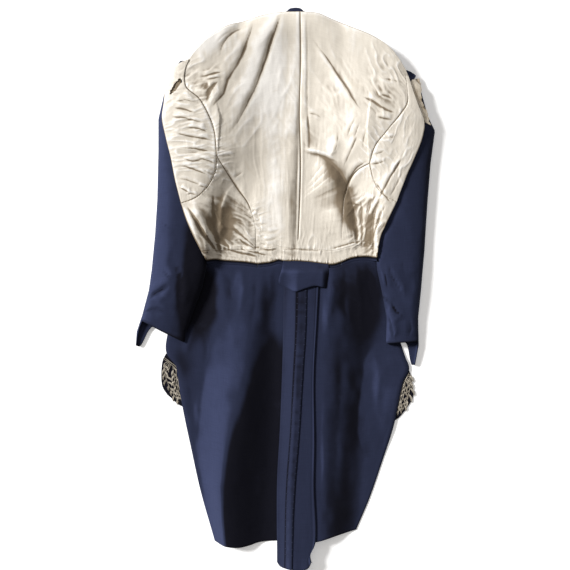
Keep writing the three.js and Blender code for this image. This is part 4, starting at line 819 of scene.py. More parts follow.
backGrid = np.concatenate([body["left"]["back"], body["right"]["back"][:, 1:]], axis=1)
shellSheet("backShell", backGrid[::2, ::4], ["back_shell"], shells["back"])
for sideName, grids in body.items():
    shellSheet("frontShell" + sideName.title(), grids["front"], ["front_" + sideName], shells[sideName])
print("stage: shells made")

# the lining
lining = {"back": {"puff": 1.2, "left": (0.21, 0.46, 0.063), "right": (0.21, 0.46, 0.0575)},
          "side": {"puff": 1, "left": (0.14, 0.17, 0.015), "right": (0.14, 0.17, 0.011)},
          "chest": {"puff": 0.8, "left": (0.11, 0.27, 0.0165), "right": (0.11, 0.27, 0.0112)},
          "band": {"cut": (0.33, 0.024), "turn": 0.9, "turnReach": 3, "hidden": 6},
          "headPad": 1.9, "headPadReach": (260, 230), "rip": {"at": (-202, 313), "half": (17, 4.6), "turn": 55}}
# patches of painted shade, and of painted light where the amount is below nought: centre, reach across and down, and
# how much
liningLightAndShadePatches = [
    (99, 112, 17, 42, 0.62), (112, 78, 12, 34, 0.3), (74, 160, 18, 20, 0.3), (139, 62, 10, 44, 0.62),
    (-113, 68, 11, 44, 0.55), (-134, 74, 16, 40, 0.24), (-92, 84, 22, 40, 0.26), (-160, 40, 16, 50, 0.34),
    (-40, 20, 60, 18, 0.08), (-200, 330, 20, 24, 0.12), (205, 320, 18, 40, 0.08), (-34, 130, 20, 90, -0.16),
    (-28, 330, 34, 90, -0.24), (-72, 300, 30, 70, -0.1), (-150, 395, 40, 30, -0.3), (-150, 310, 22, 24, 0.24),
    (-52, 160, 22, 60, 0.14), (90, 295, 46, 70, 0.2), (172, 285, 26, 24, 0.2), (4, 90, 9, 110, 0.3),
    (22, 260, 5, 190, 0.2), (-124, 62, 6, 48, 0.5), (60, 130, 20, 40, 0.14), (40, 220, 14, 26, 0.18),
    (62, 70, 30, 70, 0.06), (168, 70, 14, 40, 0.14),
]
upperFaces = {}


def creaseAndPatchShade(x, y):  # painted shade in the creases, and the patches of painted light and shade
    return 0.42 * creaseShade(liningCreases, x, y) + patchSum(liningLightAndShadePatches, x, y)


def liningSheet(name, grid, puffRise, cut, nodes, extra=0.0, keep=None):
    # the satin over the shell, with painted shade in its small and wide hollows, in its creases and along its seams,
    # and painted light and shade in patches
    top, edge = liningTop(grid, puffRise, extra)
    x, y = top[..., 0], top[..., 1]
    stand = top[..., 2] - shellTop(x, y)
    hollow = 0.5 * hollowness(stand, 3, 0.9) + 0.35 * hollowness(stand, 14, 3.5) + 0.05
    hollow = hollow + creaseAndPatchShade(x, y)
    hollow = np.clip(hollow + 0.55 * seamStrength(x, y) * (1 - smooth(0.2, 1.1, edge)), 0, 1)
    upperFaces[name] = top
    made = clothPiece(name, top, coat["satin"], satin, keep=keep, hollow=hollow)
    return finishPiece(made, nodes, cut)


def outsideRip(grid, rip):  # the cells outside a turned oval, ragged round its edge
    middle = (grid[:-1, :-1] + grid[1:, 1:]) / 2
    c, n = math.cos(math.radians(rip["turn"])), math.sin(math.radians(rip["turn"]))
    dx, dy = middle[..., 0] - rip["at"][0], middle[..., 1] - rip["at"][1]
    along, off = (dx * c + dy * n) / rip["half"][0], (dy * c - dx * n) / rip["half"][1]
    return along**2 + off**2 > 1 + 0.35 * softNoise(dx / 3, dy / 3, 5)


hemRows = fineRows["hem"]
for sideName, grids in body.items():
    title = sideName.title()
    for key in ("back", "side"):
        liningSheet("lining" + key.title() + title, grids[key][:-hemRows], lining[key]["puff"], lining[key][sideName],
                    [f"lining_{key}_{sideName}"])
    chest = grids["chest"]
    pad = lining["headPad"] * (1 - smooth(*lining["headPadReach"], chest[..., 1]))
    liningSheet("liningChest" + title, chest, lining["chest"]["puff"], lining["chest"][sideName],
                [f"lining_chest_{sideName}"], extra=pad,
                keep=outsideRip(chest, lining["rip"]) if sideName == "left" else None)

waistPart = lining["band"]
waistParts = [body[sideName][key][-hemRows - 1:] for sideName, key in roundWaist]
waistGrid = np.concatenate([waistParts[0]] + [grid[:, 1:] for grid in waistParts[1:]], axis=1)
x, y = waistGrid[..., 0], waistGrid[..., 1]
hidden = waistPart["hidden"] * smooth(0.6, 0.3, evenly(hemRows))[:, None]
lowEdge = edgeDistance(waistGrid) + hidden  # its upper edge is hardly seen
bandRelief = 0.7 + liningRelief(x, y) + 0.5 * np.abs(softNoise(x / 9, y / 30, 41))
bandRise = np.maximum(aboveShell(bandRelief) - turnDown(lowEdge, waistPart["turn"], waistPart["turnReach"]), 0)
# painted shade in its hollows, creases and patches, and painted shade along its turned-down edges
bandHollow = 0.5 * hollowness(bandRise, 3, 0.9) + 0.27 + creaseAndPatchShade(x, y) + 0.5 * (1 - smooth(0.5, 2.6, lowEdge))
bandTop = np.dstack([x, y, overShell(x, y) + bandRise])
band = clothPiece("waistBand", bandTop, coat["satin"], satin, hollow=np.clip(bandHollow, 0, 1))
finishPiece(band, ["waist_band"], waistPart["cut"])

# the sleeve heads: one shows through the rip, the other has torn loose beside the open edge
heads = {"left": {"cut": (0.05, 0.10, 0.0037), "thick": 0.8, "clear": 0.15, "rows": (13, 76), "columns": (9, 49)},
         "right": {"cut": (0.017, 0.085), "thick": 0.9, "clear": 1.6, "steps": 48,
                   "hollows": [(235, 289, 5, 3, 0.6), (240, 275, 4, 4, 0.7), (224, 300, 4, 9, 0.3)]}}
headGrid = body["left"]["chest"][slice(*heads["left"]["rows"]), slice(*heads["left"]["columns"])]
x, y = headGrid[..., 0], headGrid[..., 1]
headZ = shellTop(x, y) + coat["plyGap"] + heads["left"]["clear"] + coat["satin"] + 0.25 * softNoise(x / 6, y / 8, 51)
headDepth = 0.88 + 0.12 * softNoise(x / 4, y / 6, 52)
headLeft = clothPiece("sleeveHeadLeft", np.dstack([x, y, headZ]), heads["left"]["thick"], headSatin, hollow=headDepth)
finishPiece(headLeft, ["sleeve_head_left"], heads["left"]["cut"])

tornSteps = heads["right"]["steps"]
tornInner, tornOuter = drawn(tornHeadInner, tornSteps), drawn(tornHeadOuter, tornSteps)
ragged = 1.6 * softNoise(np.arange(tornSteps + 1) / 2.3, np.zeros(tornSteps + 1), 61)
tornOuter = tornOuter + np.stack([np.minimum(ragged, 0.6), 0 * ragged], axis=1)
tornGrid = spannedGrid(tornInner, tornOuter, 14)
x, y = tornGrid[..., 0], tornGrid[..., 1]
tornZ = liftOverSleeve(sleeveRightRows, x, y) + heads["right"]["clear"] + 0.8 * np.abs(softNoise(x / 5, y / 9, 62))
# painted shade in the torn strip's hollows and creases
tornDepth = np.clip(0.6 * hollowness(tornZ) + patchSum(heads["right"]["hollows"], x, y), 0, 1)
torn = clothPiece("sleeveHeadRight", np.dstack([x, y, tornZ]), heads["right"]["thick"], headSatin, hollow=tornDepth)
finishPiece(torn, ["sleeve_head_right"], heads["right"]["cut"])
print("stage: lining made")

# tails: flat beside the outer edge, a flute, and flat again under the vent
tails = {
    "left": {
        "outer": [(-156, -4.5), (-184, -45), (-208, -95), (-220, -130), (-222, -163), (-205, -187), (-202, -205),
                  (-193, -260), (-178, -333), (-160, -414), (-135, -501)],
        "inner": [(12, -5.5), (6, -160), (0, -320), (-9, -500)],
        "hem": [(-135, -501), (-117, -508), (-92, -511), (-73, -508), (-55, -503), (-9, -500)],
        "waist": ["side", "back"], "flute": fluteLeft, "room": (-118, -162, -275, -340), "cut": (0.25, 0.52, 0.098),
        "folds": [
            ([(-150, -70), (-176, -120), (-190, -170)], 9, 12, 1.6),
            ([(-126, -10), (-120, -50), (-116, -110)], 9, 8, 1.8), ([(-84, -8), (-86, -50), (-92, -100)], 7, 8, 1.5),
            ([(-60, -8), (-62, -60), (-70, -130)], 7, 7, -1.4), ([(-104, -8), (-103, -40), (-104, -80)], 6, 6, -1.2),
            ([(-36, -10), (-36, -40), (-40, -80)], 6, 6, 1.2),
            ([(-170, -240), (-158, -320), (-142, -420)], 14, 16, 1.6),
            ([(-184, -215), (-176, -250), (-172, -300)], 8, 6, -1.0)],
    },
    "right": {
        "outer": [(164, 0.5), (179, -60), (190, -115), (206, -168), (214, -192), (204, -214), (198, -238),
                  (186, -295), (162, -370), (142, -427), (119, -481)],
        "inner": [(14, -5.5), (24, -60), (26, -300), (24, -502)],
        "hem": [(24, -502), (45, -501), (82, -491), (119, -481)],
        "waist": ["back", "side"], "flute": fluteRight, "room": (-140, -188, -292, -350), "cut": (0.20, 0.51, 0.078),
        "folds": [
            ([(76, -8), (72, -60), (66, -140)], 8, 9, 2.0), ([(100, -6), (98, -50), (100, -110)], 8, 8, -1.4),
            ([(120, -2), (122, -50), (130, -110)], 8, 8, 1.6), ([(92, -150), (88, -260), (80, -400)], 12, 14, -1.2),
            ([(150, -150), (158, -200), (160, -260)], 8, 8, 1.2),
            ([(60, -200), (58, -330), (56, -460)], 10, 10, 1.2), ([(140, -6), (146, -40), (158, -90)], 6, 6, -1.4)],
    },
    "underHem": 7.2, "rows": 130, "columns": 66, "roomRise": 2.7, "roomEnds": (58, 135), "fall": 0.45,
}


def tailSheet(sideName, part):
    # under: the flute, or the room that a flap takes; over it folds, none at the edges, at the waist and by the vent
    left = sideName == "left"
    outer, inner = (drawn(part[key], tails["rows"]) for key in ("outer", "inner"))
    waist = chained(*[body[sideName][key][-1] for key in part["waist"]])
    run = runLengths(waist[None])[0][0]
    at = np.linspace(run[0], run[-1], tails["columns"] + 1)
    top = np.stack([np.interp(at, run, waist[:, k]) for k in (0, 1)], axis=1) - [0, tails["underHem"]]
    first, second = (outer, inner) if left else (inner, outer)
    top[0], top[-1] = first[0], second[0]
    grid = panelGrid(first, second, top, drawn(part["hem"], tails["columns"]))
    x, y = grid[..., 0], grid[..., 1]
    start, crest, height = (columnAt(part["flute"], k, y) for k in (1, 2, -1))
    inward = 1 - smooth(crest, columnAt(part["flute"], 3, y), x) if left else np.ones_like(x)
    rise = np.where(np.abs(x) > np.abs(crest), smooth(start, crest, x), inward)
    opens, shuts = part["room"][:2], part["room"][2:]
    room = smooth(*opens, y) * (1 - smooth(*shuts, y))
    away = np.abs(x - outer[:, :1])
    under = np.maximum(height * rise, tails["roomRise"] * room * (1 - smooth(*tails["roomEnds"], away)))
    edge = edgeDistance(grid, top=False)
    beyondVent = smooth(20, 60, np.abs(x - 15)) if left else smooth(52, 62, x)
    relief = foldSum(part["folds"], x, y, 3.0) + 0.9 * softNoise(x / 34, y / 90, 71)
    relief = relief + 0.35 * softNoise(x / 13, y / 24, 72)
    relief = relief * smooth(0, 14, edge) * beyondVent * smooth(0, 10, runLengths(grid)[1])
    z = under + coat["wool"] + np.maximum(relief, -0.3 - 0.25 * under) - turnDown(edge, tails["fall"], 2.5)
    points = np.dstack([x, y, z])
    hollow = woolPaintedShade(points)
    if left:
        # painted shade over the left tail's deep flute, below the waist
        hollow = np.clip(hollow + 0.5 * smooth(-12, 22, x - columnAt(tailShadeEdge, 1, y)) * smooth(-90, -190, y), 0, 1)
    made = clothPiece("tail" + sideName.title(), points, coat["wool"] - coat["nap"], wool, hollow=hollow)
    return finishPiece(made, ["tail_" + sideName], part["cut"])


for sideName in body:
    tailSheet(sideName, tails[sideName])
print("stage: tails made")

# the vent: an underlap on both tails, a facing on it whose band is stitched down, and a pointed stay over their heads
vent = {"clear": 0.8, "slope": 26, "foldShare": 0.58, "rungPitch": 24, "rows": 210, "facingColumns": 30,
        "besideColumns": 26, "stayRows": 26, "stayColumns": 52, "facingCut": (0.045, 0.53, 0.0225),
        "underlapCut": (0.08, 0.53, 0.037), "stayCut": (0.09, 0.055, 0.0046), "overStrips": 5.4, "tuckedAt": 2.55,
        "tuckedThick": 0.45}


def edgeAt(line, y):  # where a line that runs down stands at a height y, straight between its points
    points = np.array(line, float)[::-1]
    return np.interp(y, points[:, 1], points[:, 0])


def stripRise(x, y):  # level with the right tail's raised edge, and down to the surface on the left
    left = edgeAt(stripLeftEdge, y)
    return columnAt(fluteRight, -1, y) * smooth(left, left + vent["slope"], x)


stripLeft, stripMiddle, stripRight = (drawn(line, vent["rows"])
                                      for line in (stripLeftEdge, facingEdge, stripRightEdge))
facingGrid = spannedGrid(stripLeft, stripMiddle, vent["facingColumns"], facingFoot)
besideGrid = spannedGrid(stripMiddle, stripRight, vent["besideColumns"], underlapFoot)
underlapGrid = np.concatenate([facingGrid, besideGrid[:, 1:]], axis=1)

x, y = underlapGrid[..., 0], underlapGrid[..., 1]
across = np.linspace(0, 1, underlapGrid.shape[1])[None]
rolled = 0.5 * bell(across, 0.965, 0.03) - 0.35 * bell(across, 0.9, 0.03)
underlapZ = coat["wool"] + vent["clear"] + stripRise(x, y) + coat["wool"]
underlapZ = underlapZ + np.where(across > 0.55, rolled + 0.25 * softNoise(x / 9, y / 40, 81), 0)
underlapZ = underlapZ - turnDown(edgeDistance(underlapGrid), 0.4)
points = np.dstack([x, y, underlapZ])
underlap = clothPiece("ventUnderlap", points, coat["wool"] - coat["nap"], wool, hollow=woolPaintedShade(points, 0.3))
finishPiece(underlap, ["vent_underlap"], vent["underlapCut"])

# the facing: a soft bulge, a pressed line, and a band drawn in by its stitches like the rungs of a ladder
x, y = facingGrid[..., 0], facingGrid[..., 1]
across = np.linspace(0, 1, facingGrid.shape[1])[None]
foldShare = vent["foldShare"]
pressed = -0.9 * bell(across, foldShare, 0.035)
bulge = 1.5 * np.sqrt(np.clip(1 - ((across - 0.3) / 0.32) ** 2, 0, 1))
rungs = np.abs(np.sin(np.pi * (y + 7 * softNoise(y / 33, 0 * y, 82)) / vent["rungPitch"])) ** 0.8
bandShape = np.clip(1 - ((across - 0.79) / 0.21) ** 2, 0, 1)
rungs = rungs * (0.6 + 0.4 * softNoise(y / 21, 0 * y, 84))
facingZ = coat["wool"] * 3 + vent["clear"] + coat["plyGap"] + stripRise(x, y) + pressed + bulge
facingZ = facingZ + 0.7 * bandShape * rungs + 0.15 * softNoise(x / 6, y / 30, 83)
facingZ = facingZ - turnDown(edgeDistance(facingGrid), 0.5) - 0.6
facingTop = np.dstack([x, y, facingZ])
# painted light and shade by slope, painted shade between the rungs and in the pressed line, and painted shade over all
# of it, more over the bulge
facingHollow = woolPaintedShade(facingTop, 0.25) + 0.14 * (1 - rungs) * bandShape + 0.3 * bell(across, foldShare, 0.05)
facingHollow = np.clip(facingHollow + 0.24 - 0.14 * smooth(0.56, 0.6, across), 0, 1)
facing = clothPiece("ventFacing", facingTop, coat["wool"] - 0.3, wool, hollow=facingHollow)
finishPiece(facing, ["vent_facing"], vent["facingCut"])

# the stay: its head goes in under the hem, and it steps down beside the strips
staySides = (drawn(line, vent["stayRows"]) for line in (stayLeftEdge, stayRightEdge))
stayGrid = spannedGrid(*staySides, vent["stayColumns"], stayPoint)
x, y = stayGrid[..., 0], stayGrid[..., 1]
edge = edgeDistance(stayGrid)
onStrips = smooth(-8, -20, y) * (1 - smooth(4, 18, np.maximum(0, x - edgeAt(stripRightEdge, y))))
tucked = smooth(-9, -1, y)
stayZ = coat["wool"] * 2 + vent["clear"] + vent["overStrips"] * onStrips + stripRise(x, y) + 0.5 * smooth(0, 5, edge)
stayZ = stayZ + 0.3 * softNoise(x / 12, y / 12, 85) - turnDown(edge, 0.5)
stayZ = stayZ - (1 - onStrips) * 2.2 * smooth(44, 66, x)
stayZ = stayZ * (1 - tucked) + vent["tuckedAt"] * tucked
stayThick = (coat["wool"] - coat["nap"]) * (1 - tucked) * (1 - 0.6 * smooth(48, 66, x)) + vent["tuckedThick"] * tucked
points = np.dstack([x, y, stayZ])
stay = clothPiece("ventStay", points, stayThick, wool, hollow=woolPaintedShade(points, 0.3))
finishPiece(stay, ["vent_stay"], vent["stayCut"])
print("stage: vent made")

# sewing: short stitches that lie over the seams, and threads that have frayed out of the raw ends
sewing = {
    "armholeLeft": {"sheet": "liningChestLeft", "pitch": 5.5, "long": 3.4, "turn": 62, "below": 296},
    "armholeRight": {"sheet": "liningChestRight", "pitch": 6, "long": 3.2, "turn": -62, "below": 284},
    "hem": {"pitch": 7.5, "long": 3.2, "turn": 78, "up": 3.2},
    "band": {"pitch": 12, "long": 3.6, "turn": 90, "columns": (18, 29)},
    "silkRadius": 0.3, "woolRadius": 0.35,
    "silkEnds": {"at": [4, 9, 13, 19, 25, 30, 36, 41, 45], "way": (0.75, -0.6), "long": 8, "radius": 0.28,
                 "under": 0.4},
    "woolEnds": {"count": 15, "way": (0.15, -0.95), "long": 5, "radius": 0.3, "under": 0.9},
}


def heightAt(sheet, x, y):  # the height of a sheet's nearest point
    flat = sheet.reshape(-1, 3)
    nearest = [np.argmin((flat[:, 0] - a) ** 2 + (flat[:, 1] - b) ** 2) for a, b in zip(x.ravel(), y.ravel())]
    return flat[nearest, 2].reshape(x.shape)


def stitchRow(line, sheet, row):  # short arched threads across a line at its pitch, each turned a little its own way
    count = int(np.linalg.norm(np.diff(line, axis=0), axis=1).sum() / row["pitch"])
    shares = (np.arange(count) + 0.5 + 0.12 * np.sin(7.3 * np.arange(count))) / count
    middle, ahead = curveThrough(line, shares), curveThrough(line, shares + 0.4 / count)
    run = (ahead - middle) / np.linalg.norm(ahead - middle, axis=1, keepdims=True)
    turn = np.radians(row["turn"] + 12 * np.sin(4.1 * np.arange(count)))[:, None]
    way = run * np.cos(turn) + np.stack([-run[:, 1], run[:, 0]], axis=1) * np.sin(turn)
    steps = np.linspace(-0.5, 0.5, 5)
    place = middle[:, None] + way[:, None] * (row["long"] * steps)[None, :, None]
    z = heightAt(sheet, place[..., 0], place[..., 1]).max(axis=1, keepdims=True) + 0.35 * (1 - (2 * steps) ** 2) - 0.1
    return np.dstack([place, z])


def frayed(start, way, long, height):  # loose threads, each bent its own way
    k = np.arange(len(start))
    t = np.linspace(0, 1, 7)[None]
    lengths = long * (0.6 + 0.4 * np.sin(5.9 * k))[:, None]
    bend = (0.5 * np.sin(3.7 * k))[:, None] * lengths * t**2
    x = start[:, :1] + way[0] * lengths * t - way[1] * bend
    y = start[:, 1:] + way[1] * lengths * t + way[0] * bend
    z = np.reshape(height, (-1, 1)) + 0.5 * np.sin(np.pi * t) + 0.2 * np.sin(2.3 * k)[:, None] * t
    return np.dstack([x, y, z])


silkRows = []
for seam, key in ((armholeSeamLeft, "armholeLeft"), (armholeSeamRight, "armholeRight")):
    row = sewing[key]
    silkRows.append(stitchRow(seam[seam[:, 1] < row["below"]], upperFaces[row["sheet"]], row))
silkRows.append(stitchRow(hemFoot + [0, sewing["hem"]["up"]], bandTop, sewing["hem"]))
finishPiece(tubes("liningStitches", np.concatenate(silkRows), sewing["silkRadius"], silkThread), [])
woolRows = [stitchRow(facingGrid[4:-4:6, column], facingTop, sewing["band"]) for column in sewing["band"]["columns"]]
finishPiece(tubes("ventStitches", np.concatenate(woolRows), sewing["woolRadius"], woolThread), [])
loose = sewing["silkEnds"]
places = tornOuter[np.array(loose["at"])]
height = heightAt(np.dstack([tornGrid, tornZ]), places[:, 0], places[:, 1]) - loose["under"]
silkEnds = frayed(places, loose["way"], loose["long"], height)
finishPiece(tubes("frayedSilk", silkEnds, loose["radius"], silkThread), [])
loose = sewing["woolEnds"]
places = curveThrough(underlapFoot, (np.arange(loose["count"]) + 0.5) / loose["count"])
height = np.full(loose["count"], underlapZ[-1].min() - loose["under"])
woolEnds = frayed(places, loose["way"], loose["long"], height)
finishPiece(tubes("frayedWool", woolEnds, loose["radius"], woolThread), [])
print("stage: sewing made")

# the standing collar is turned under the neck and lies on the surface
collarPart = {"cut": (0.17, 0.04, 0.0058), "columns": 70, "rows": 16, "fall": 0.5}
upperLine, lowerLine = (drawn(line, collarPart["columns"]) for line in (collarEdge, collarFold))
collarGrid = spannedGrid(upperLine, lowerLine, collarPart["rows"]).swapaxes(0, 1)
collarZ = coat["wool"] - turnDown(edgeDistance(collarGrid), collarPart["fall"])
collar = clothPiece("standingCollar", np.dstack([collarGrid, collarZ]), coat["wool"] - coat["nap"], wool)
finishPiece(collar, ["collar"], collarPart["cut"])

# sleeves: flattened tubes, open at the armhole and at the cuff
sleeves = {
    "left": {
        "rows": sleeveLeftRows, "outerY": -104, "innerY": -144, "tongue": 46, "tongueWidth": 0.3,
        "cut": (0.23, 0.47, 0.096),
        "creases": [
            ([(-254, -68), (-238, -53), (-214, -42)], 6, 7, 0.8, 2.2),
            ([(-244, 92), (-226, 70), (-212, 58)], 6, 8, 0.6, 1.4),
            ([(-262, -90), (-240, -84), (-216, -92)], 5, 6, 1.0, 1.4),
            ([(-232, -8), (-220, -26), (-204, -36)], 6, 6, 1.2, 0.6),
            ([(-206, 4), (-196, -40), (-196, -90)], 6, 9, 0.8, 1.8)],
        "folds": [
            ([(-250, -62), (-236, -52), (-216, -40)], 4, 5, -2.0),
            ([(-254, -50), (-232, -38), (-212, -28)], 6, 6, 1.6),
            ([(-240, 96), (-226, 40), (-222, -20)], 12, 14, 1.2),
            ([(-214, 30), (-204, -20), (-200, -80)], 8, 8, -1.8), ([(-190, 4), (-186, -40), (-190, -90)], 7, 8, 1.6),
            ([(-222, -136), (-212, -135), (-200, -134)], 3, 3, 0.8),
            ([(-236, 130), (-230, 118), (-224, 108)], 5, 5, -1.0),
            ([(-262, -96), (-240, -92), (-216, -100)], 6, 6, -0.9)]},
    "right": {
        "rows": sleeveRightRows, "outerY": -143, "innerY": -146, "tongue": 42, "tongueWidth": 0.42,
        "cut": (0.22, 0.53, 0.095),
        "creases": [
            ([(174, 2), (184, -26), (200, -64)], 5, 5, 1.8, 1.4),
            ([(166, -16), (172, -32), (174, -52)], 4, 4, 1.4, 1.4),
            ([(180, -74), (190, -88), (204, -98)], 4, 7, 0.8, 2.2),
            ([(174, -96), (182, -116), (186, -138)], 4, 5, 1.6, 1.2),
            ([(162, -58), (174, -70), (188, -76)], 4, 4, 1.6, 1.0),
            ([(196, 20), (200, -8), (212, -40)], 7, 7, 0.9, 0.7),
            ([(210, -96), (216, -116), (214, -136)], 5, 6, 0.8, 1.2)],
        "folds": [
            ([(176, -12), (184, -40), (198, -68)], 4, 4, -2.0), ([(184, -8), (194, -36), (206, -60)], 6, 6, 1.6),
            ([(162, -11), (168, -28), (173, -46)], 3, 4, 1.2), ([(184, -78), (190, -88), (194, -96)], 3, 4, -1.6),
            ([(178, -100), (186, -118), (188, -138)], 6, 6, 1.4),
            ([(228, 40), (222, -30), (214, -110)], 12, 12, 1.0),
            ([(204, -90), (212, -120), (214, -140)], 5, 6, -1.2), ([(246, 150), (240, 100), (236, 50)], 8, 8, 1.0)]},
    "round": 84, "rows": 96, "cuffRows": 24, "under": 5, "relief": (-3, 2.4),
}


def sleeveTube(sideName, part):
    # rings of an arched upper and a flat lower half, ending at the cuff's slanted line; relief only where it shows
    rows, steps = part["rows"], sleeves["round"]
    starts = [row[0] for row in rows if row[0] > part["outerY"] + 20]
    straightRows = np.linspace(starts[0], starts[-1], sleeves["rows"])
    turn = 2 * np.pi * (np.arange(steps) + 0.5) / steps
    isTop = np.sin(turn) > 0
    share = np.cos(turn)
    d = np.sign(share) * np.abs(share) ** 0.8
    edgeY = part["outerY"] + (part["innerY"] - part["outerY"]) * (d + 1) / 2
    tongue = part["tongue"] * (1 - smooth(-1 + 0.3 * part["tongueWidth"], -1 + 2 * part["tongueWidth"], d))
    end = np.where(isTop, edgeY - tongue * (1 - smooth(-1, -0.93, d)), edgeY - tongue)
    cuffShare = evenly(sleeves["cuffRows"])[1:, None]
    y = np.vstack([np.repeat(straightRows[:, None], steps, axis=1), starts[-1] + (end - starts[-1]) * cuffShare])
    outer, inner, lift = columnAt(rows, 1, y), columnAt(rows, 2, y), columnAt(rows, 3, y)
    power = np.where(isTop, shell["round"], sleeves["under"])
    crown = (1 - np.abs(d) ** power) ** (1 / power)
    arch = np.where(isTop, shell["widestAt"] + (1 - shell["widestAt"]) * crown, shell["widestAt"] * (1 - crown))
    layers = []
    for inset in (0.0, coat["wool"] - coat["nap"]):
        x = (outer + inner) / 2 + np.sign(inner - outer) * d * (np.abs(inner - outer) / 2 - inset)
        shown = isTop * smooth(0, 0.5, np.sin(turn))
        relief = foldSum(part["folds"], x, y, 2.5) + creaseSum(part["creases"], x, y, 2)
        relief = relief + 0.5 * softNoise(x / 22, y / 46, 91) + 0.25 * softNoise(x / 9, y / 12, 92)
        bare = np.maximum(smooth(95, 60, y), 0.35 * smooth(200, 225, np.abs(x)))
        relief = np.clip(relief, *sleeves["relief"]) * shown * bare
        layers.append(np.dstack([x, y, lift + inset + (columnAt(rows, 4, y) - 2 * inset) * arch + relief]))
    ids = np.arange(2 * y.size).reshape(2, len(y), steps)
    beside = np.roll(ids, -1, axis=2)
    faces = np.vstack([
        np.stack([ids[0, :-1], beside[0, :-1], beside[0, 1:], ids[0, 1:]], axis=-1).reshape(-1, 4),
        np.stack([ids[1, :-1], ids[1, 1:], beside[1, 1:], beside[1, :-1]], axis=-1).reshape(-1, 4),
        np.stack([ids[0, 0], ids[1, 0], beside[1, 0], beside[0, 0]], axis=-1),
        np.stack([ids[0, -1], beside[0, -1], beside[1, -1], ids[1, -1]], axis=-1)])
    if rows[0][2] < rows[0][1]:
        faces = faces[:, ::-1]
    skin = layers[0]
    ring = np.concatenate([skin[:, -1:], skin], axis=1)
    girth = np.cumsum(np.linalg.norm(np.diff(ring, axis=1), axis=2), axis=1)
    uv = np.tile(np.stack([girth.ravel(), y.ravel()], axis=1), (2, 1))
    toEnd = np.hypot(*(skin[-1:, :, k] - skin[..., k] for k in (0, 1)))
    # painted light and shade by slope, painted shade in the creases, and painted shade near the cuff's opening
    hollow = woolPaintedShade(skin, 0.35) + 0.4 * creaseShade(part["creases"], skin[..., 0], skin[..., 1], 2)
    hollow = np.tile(np.clip(hollow + 0.35 * (1 - smooth(0.5, 5, toEnd)), 0, 1).ravel(), 2)
    points = np.concatenate([layer.reshape(-1, 3) for layer in layers])
    made = newMesh("sleeve" + sideName.title(), points, faces.tolist(), uv, hollow, wool)
    return finishPiece(made, ["sleeve_" + sideName], part["cut"])


for sideName in body:
    sleeveTube(sideName, sleeves[sideName])
print("stage: collar and sleeves made")

# pocket flaps: dark cloth on the surface, worked with leaves, stems, a scroll and a border in metal thread;
# for each stem its line, how many pairs of leaves leave it, and their length and width
flaps = {
    "left": {
        "outer": [(-223, -165), (-229, -178), (-231, -214), (-228, -227), (-220, -239)],
        "inner": [(-172, -180), (-166, -222), (-160, -266)],
        "foot": [(-220, -239), (-193, -260), (-160, -266)],
        "cut": (0.065, 0.09, 0.0054),
        "stems": [([(-225, -183), (-224, -204), (-214, -230), (-199, -253)], 7, 14, 3.9),
                  ([(-211, -187), (-208, -206), (-205, -228), (-198, -248)], 6, 13, 3.6)],
        "border": [(-227, -171), (-214, -181), (-204, -190), (-200, -222), (-190, -256)], "scroll": (-222, -187)},
    "right": {
        "outer": [(213, -193), (217, -203), (221, -225), (221, -243), (208, -266)],
        "inner": [(172, -206), (164, -245), (158, -290)],
        "foot": [(158, -290), (190, -284), (208, -266)],
        "cut": (0.06, 0.09, 0.0045),
        "stems": [([(214, -202), (216, -222), (212, -243), (202, -268)], 6, 13, 3.8),
                  ([(207, -210), (206, -232), (200, -254), (194, -274)], 6, 12, 3.6)],
        "border": [(213, -196), (204, -214), (198, -240), (190, -276)], "scroll": (214, -212)},
    "top": 2.0, "thick": 1.8, "fall": 0.4, "dark": 0.95, "cordHeight": 2.5, "borderGap": 2.8,
    "radii": (0.8, 0.6, 0.7, 0.6), "leafRise": 1.1, "vein": 0.45, "leafThick": 0.9, "sides": 6, "rows": 60,
    "columns": 36,
}


def leafDome(centre, wide, base):  # a pointed width along a bent centre line, a domed section with a vein pressed in
    s = np.linspace(0, 1, len(centre))[:, None]
    w = np.linspace(-1, 1, 9)[None]
    run = np.gradient(centre, axis=0)
    run = run / np.linalg.norm(run, axis=1, keepdims=True)
    half = wide / 2 * np.sin(np.pi * s**0.8) ** 0.7
    x = centre[:, :1] - run[:, 1:] * half * w
    y = centre[:, 1:] + run[:, :1] * half * w
    dome = flaps["leafRise"] * np.sqrt(np.clip(1 - w * w, 0, 1)) * np.sin(np.pi * s) ** 0.5
    return np.dstack([x, y, base + dome - flaps["vein"] * bell(w, 0, 0.15)])


def spray(points, pairs, leafLong, leafWide):  # leaves leave the stem to both sides in turn, each bent back along it
    domes = []
    stem = drawn(points, 60)
    for k in range(2 * pairs):
        share, side = (k + 0.5) / (2 * pairs), 1 - 2 * (k % 2)
        here = stem[int(58 * share)]
        run = stem[int(58 * share) + 2] - here
        run = run / np.linalg.norm(run)
        off = np.array([-run[1], run[0]]) * side
        long = leafLong * (1 + 0.22 * math.sin(9.7 * k)) * (1 - 0.45 * share**3)
        splay = 0.5 + 0.2 * math.sin(5.3 * k)
        points = [here, here + long * (0.5 * run + 0.8 * splay * off), here + long * (0.98 * run + splay * off)]
        domes.append(leafDome(drawn(points, 12), leafWide, flaps["top"] + 0.12 * (k % 3)))
    return domes


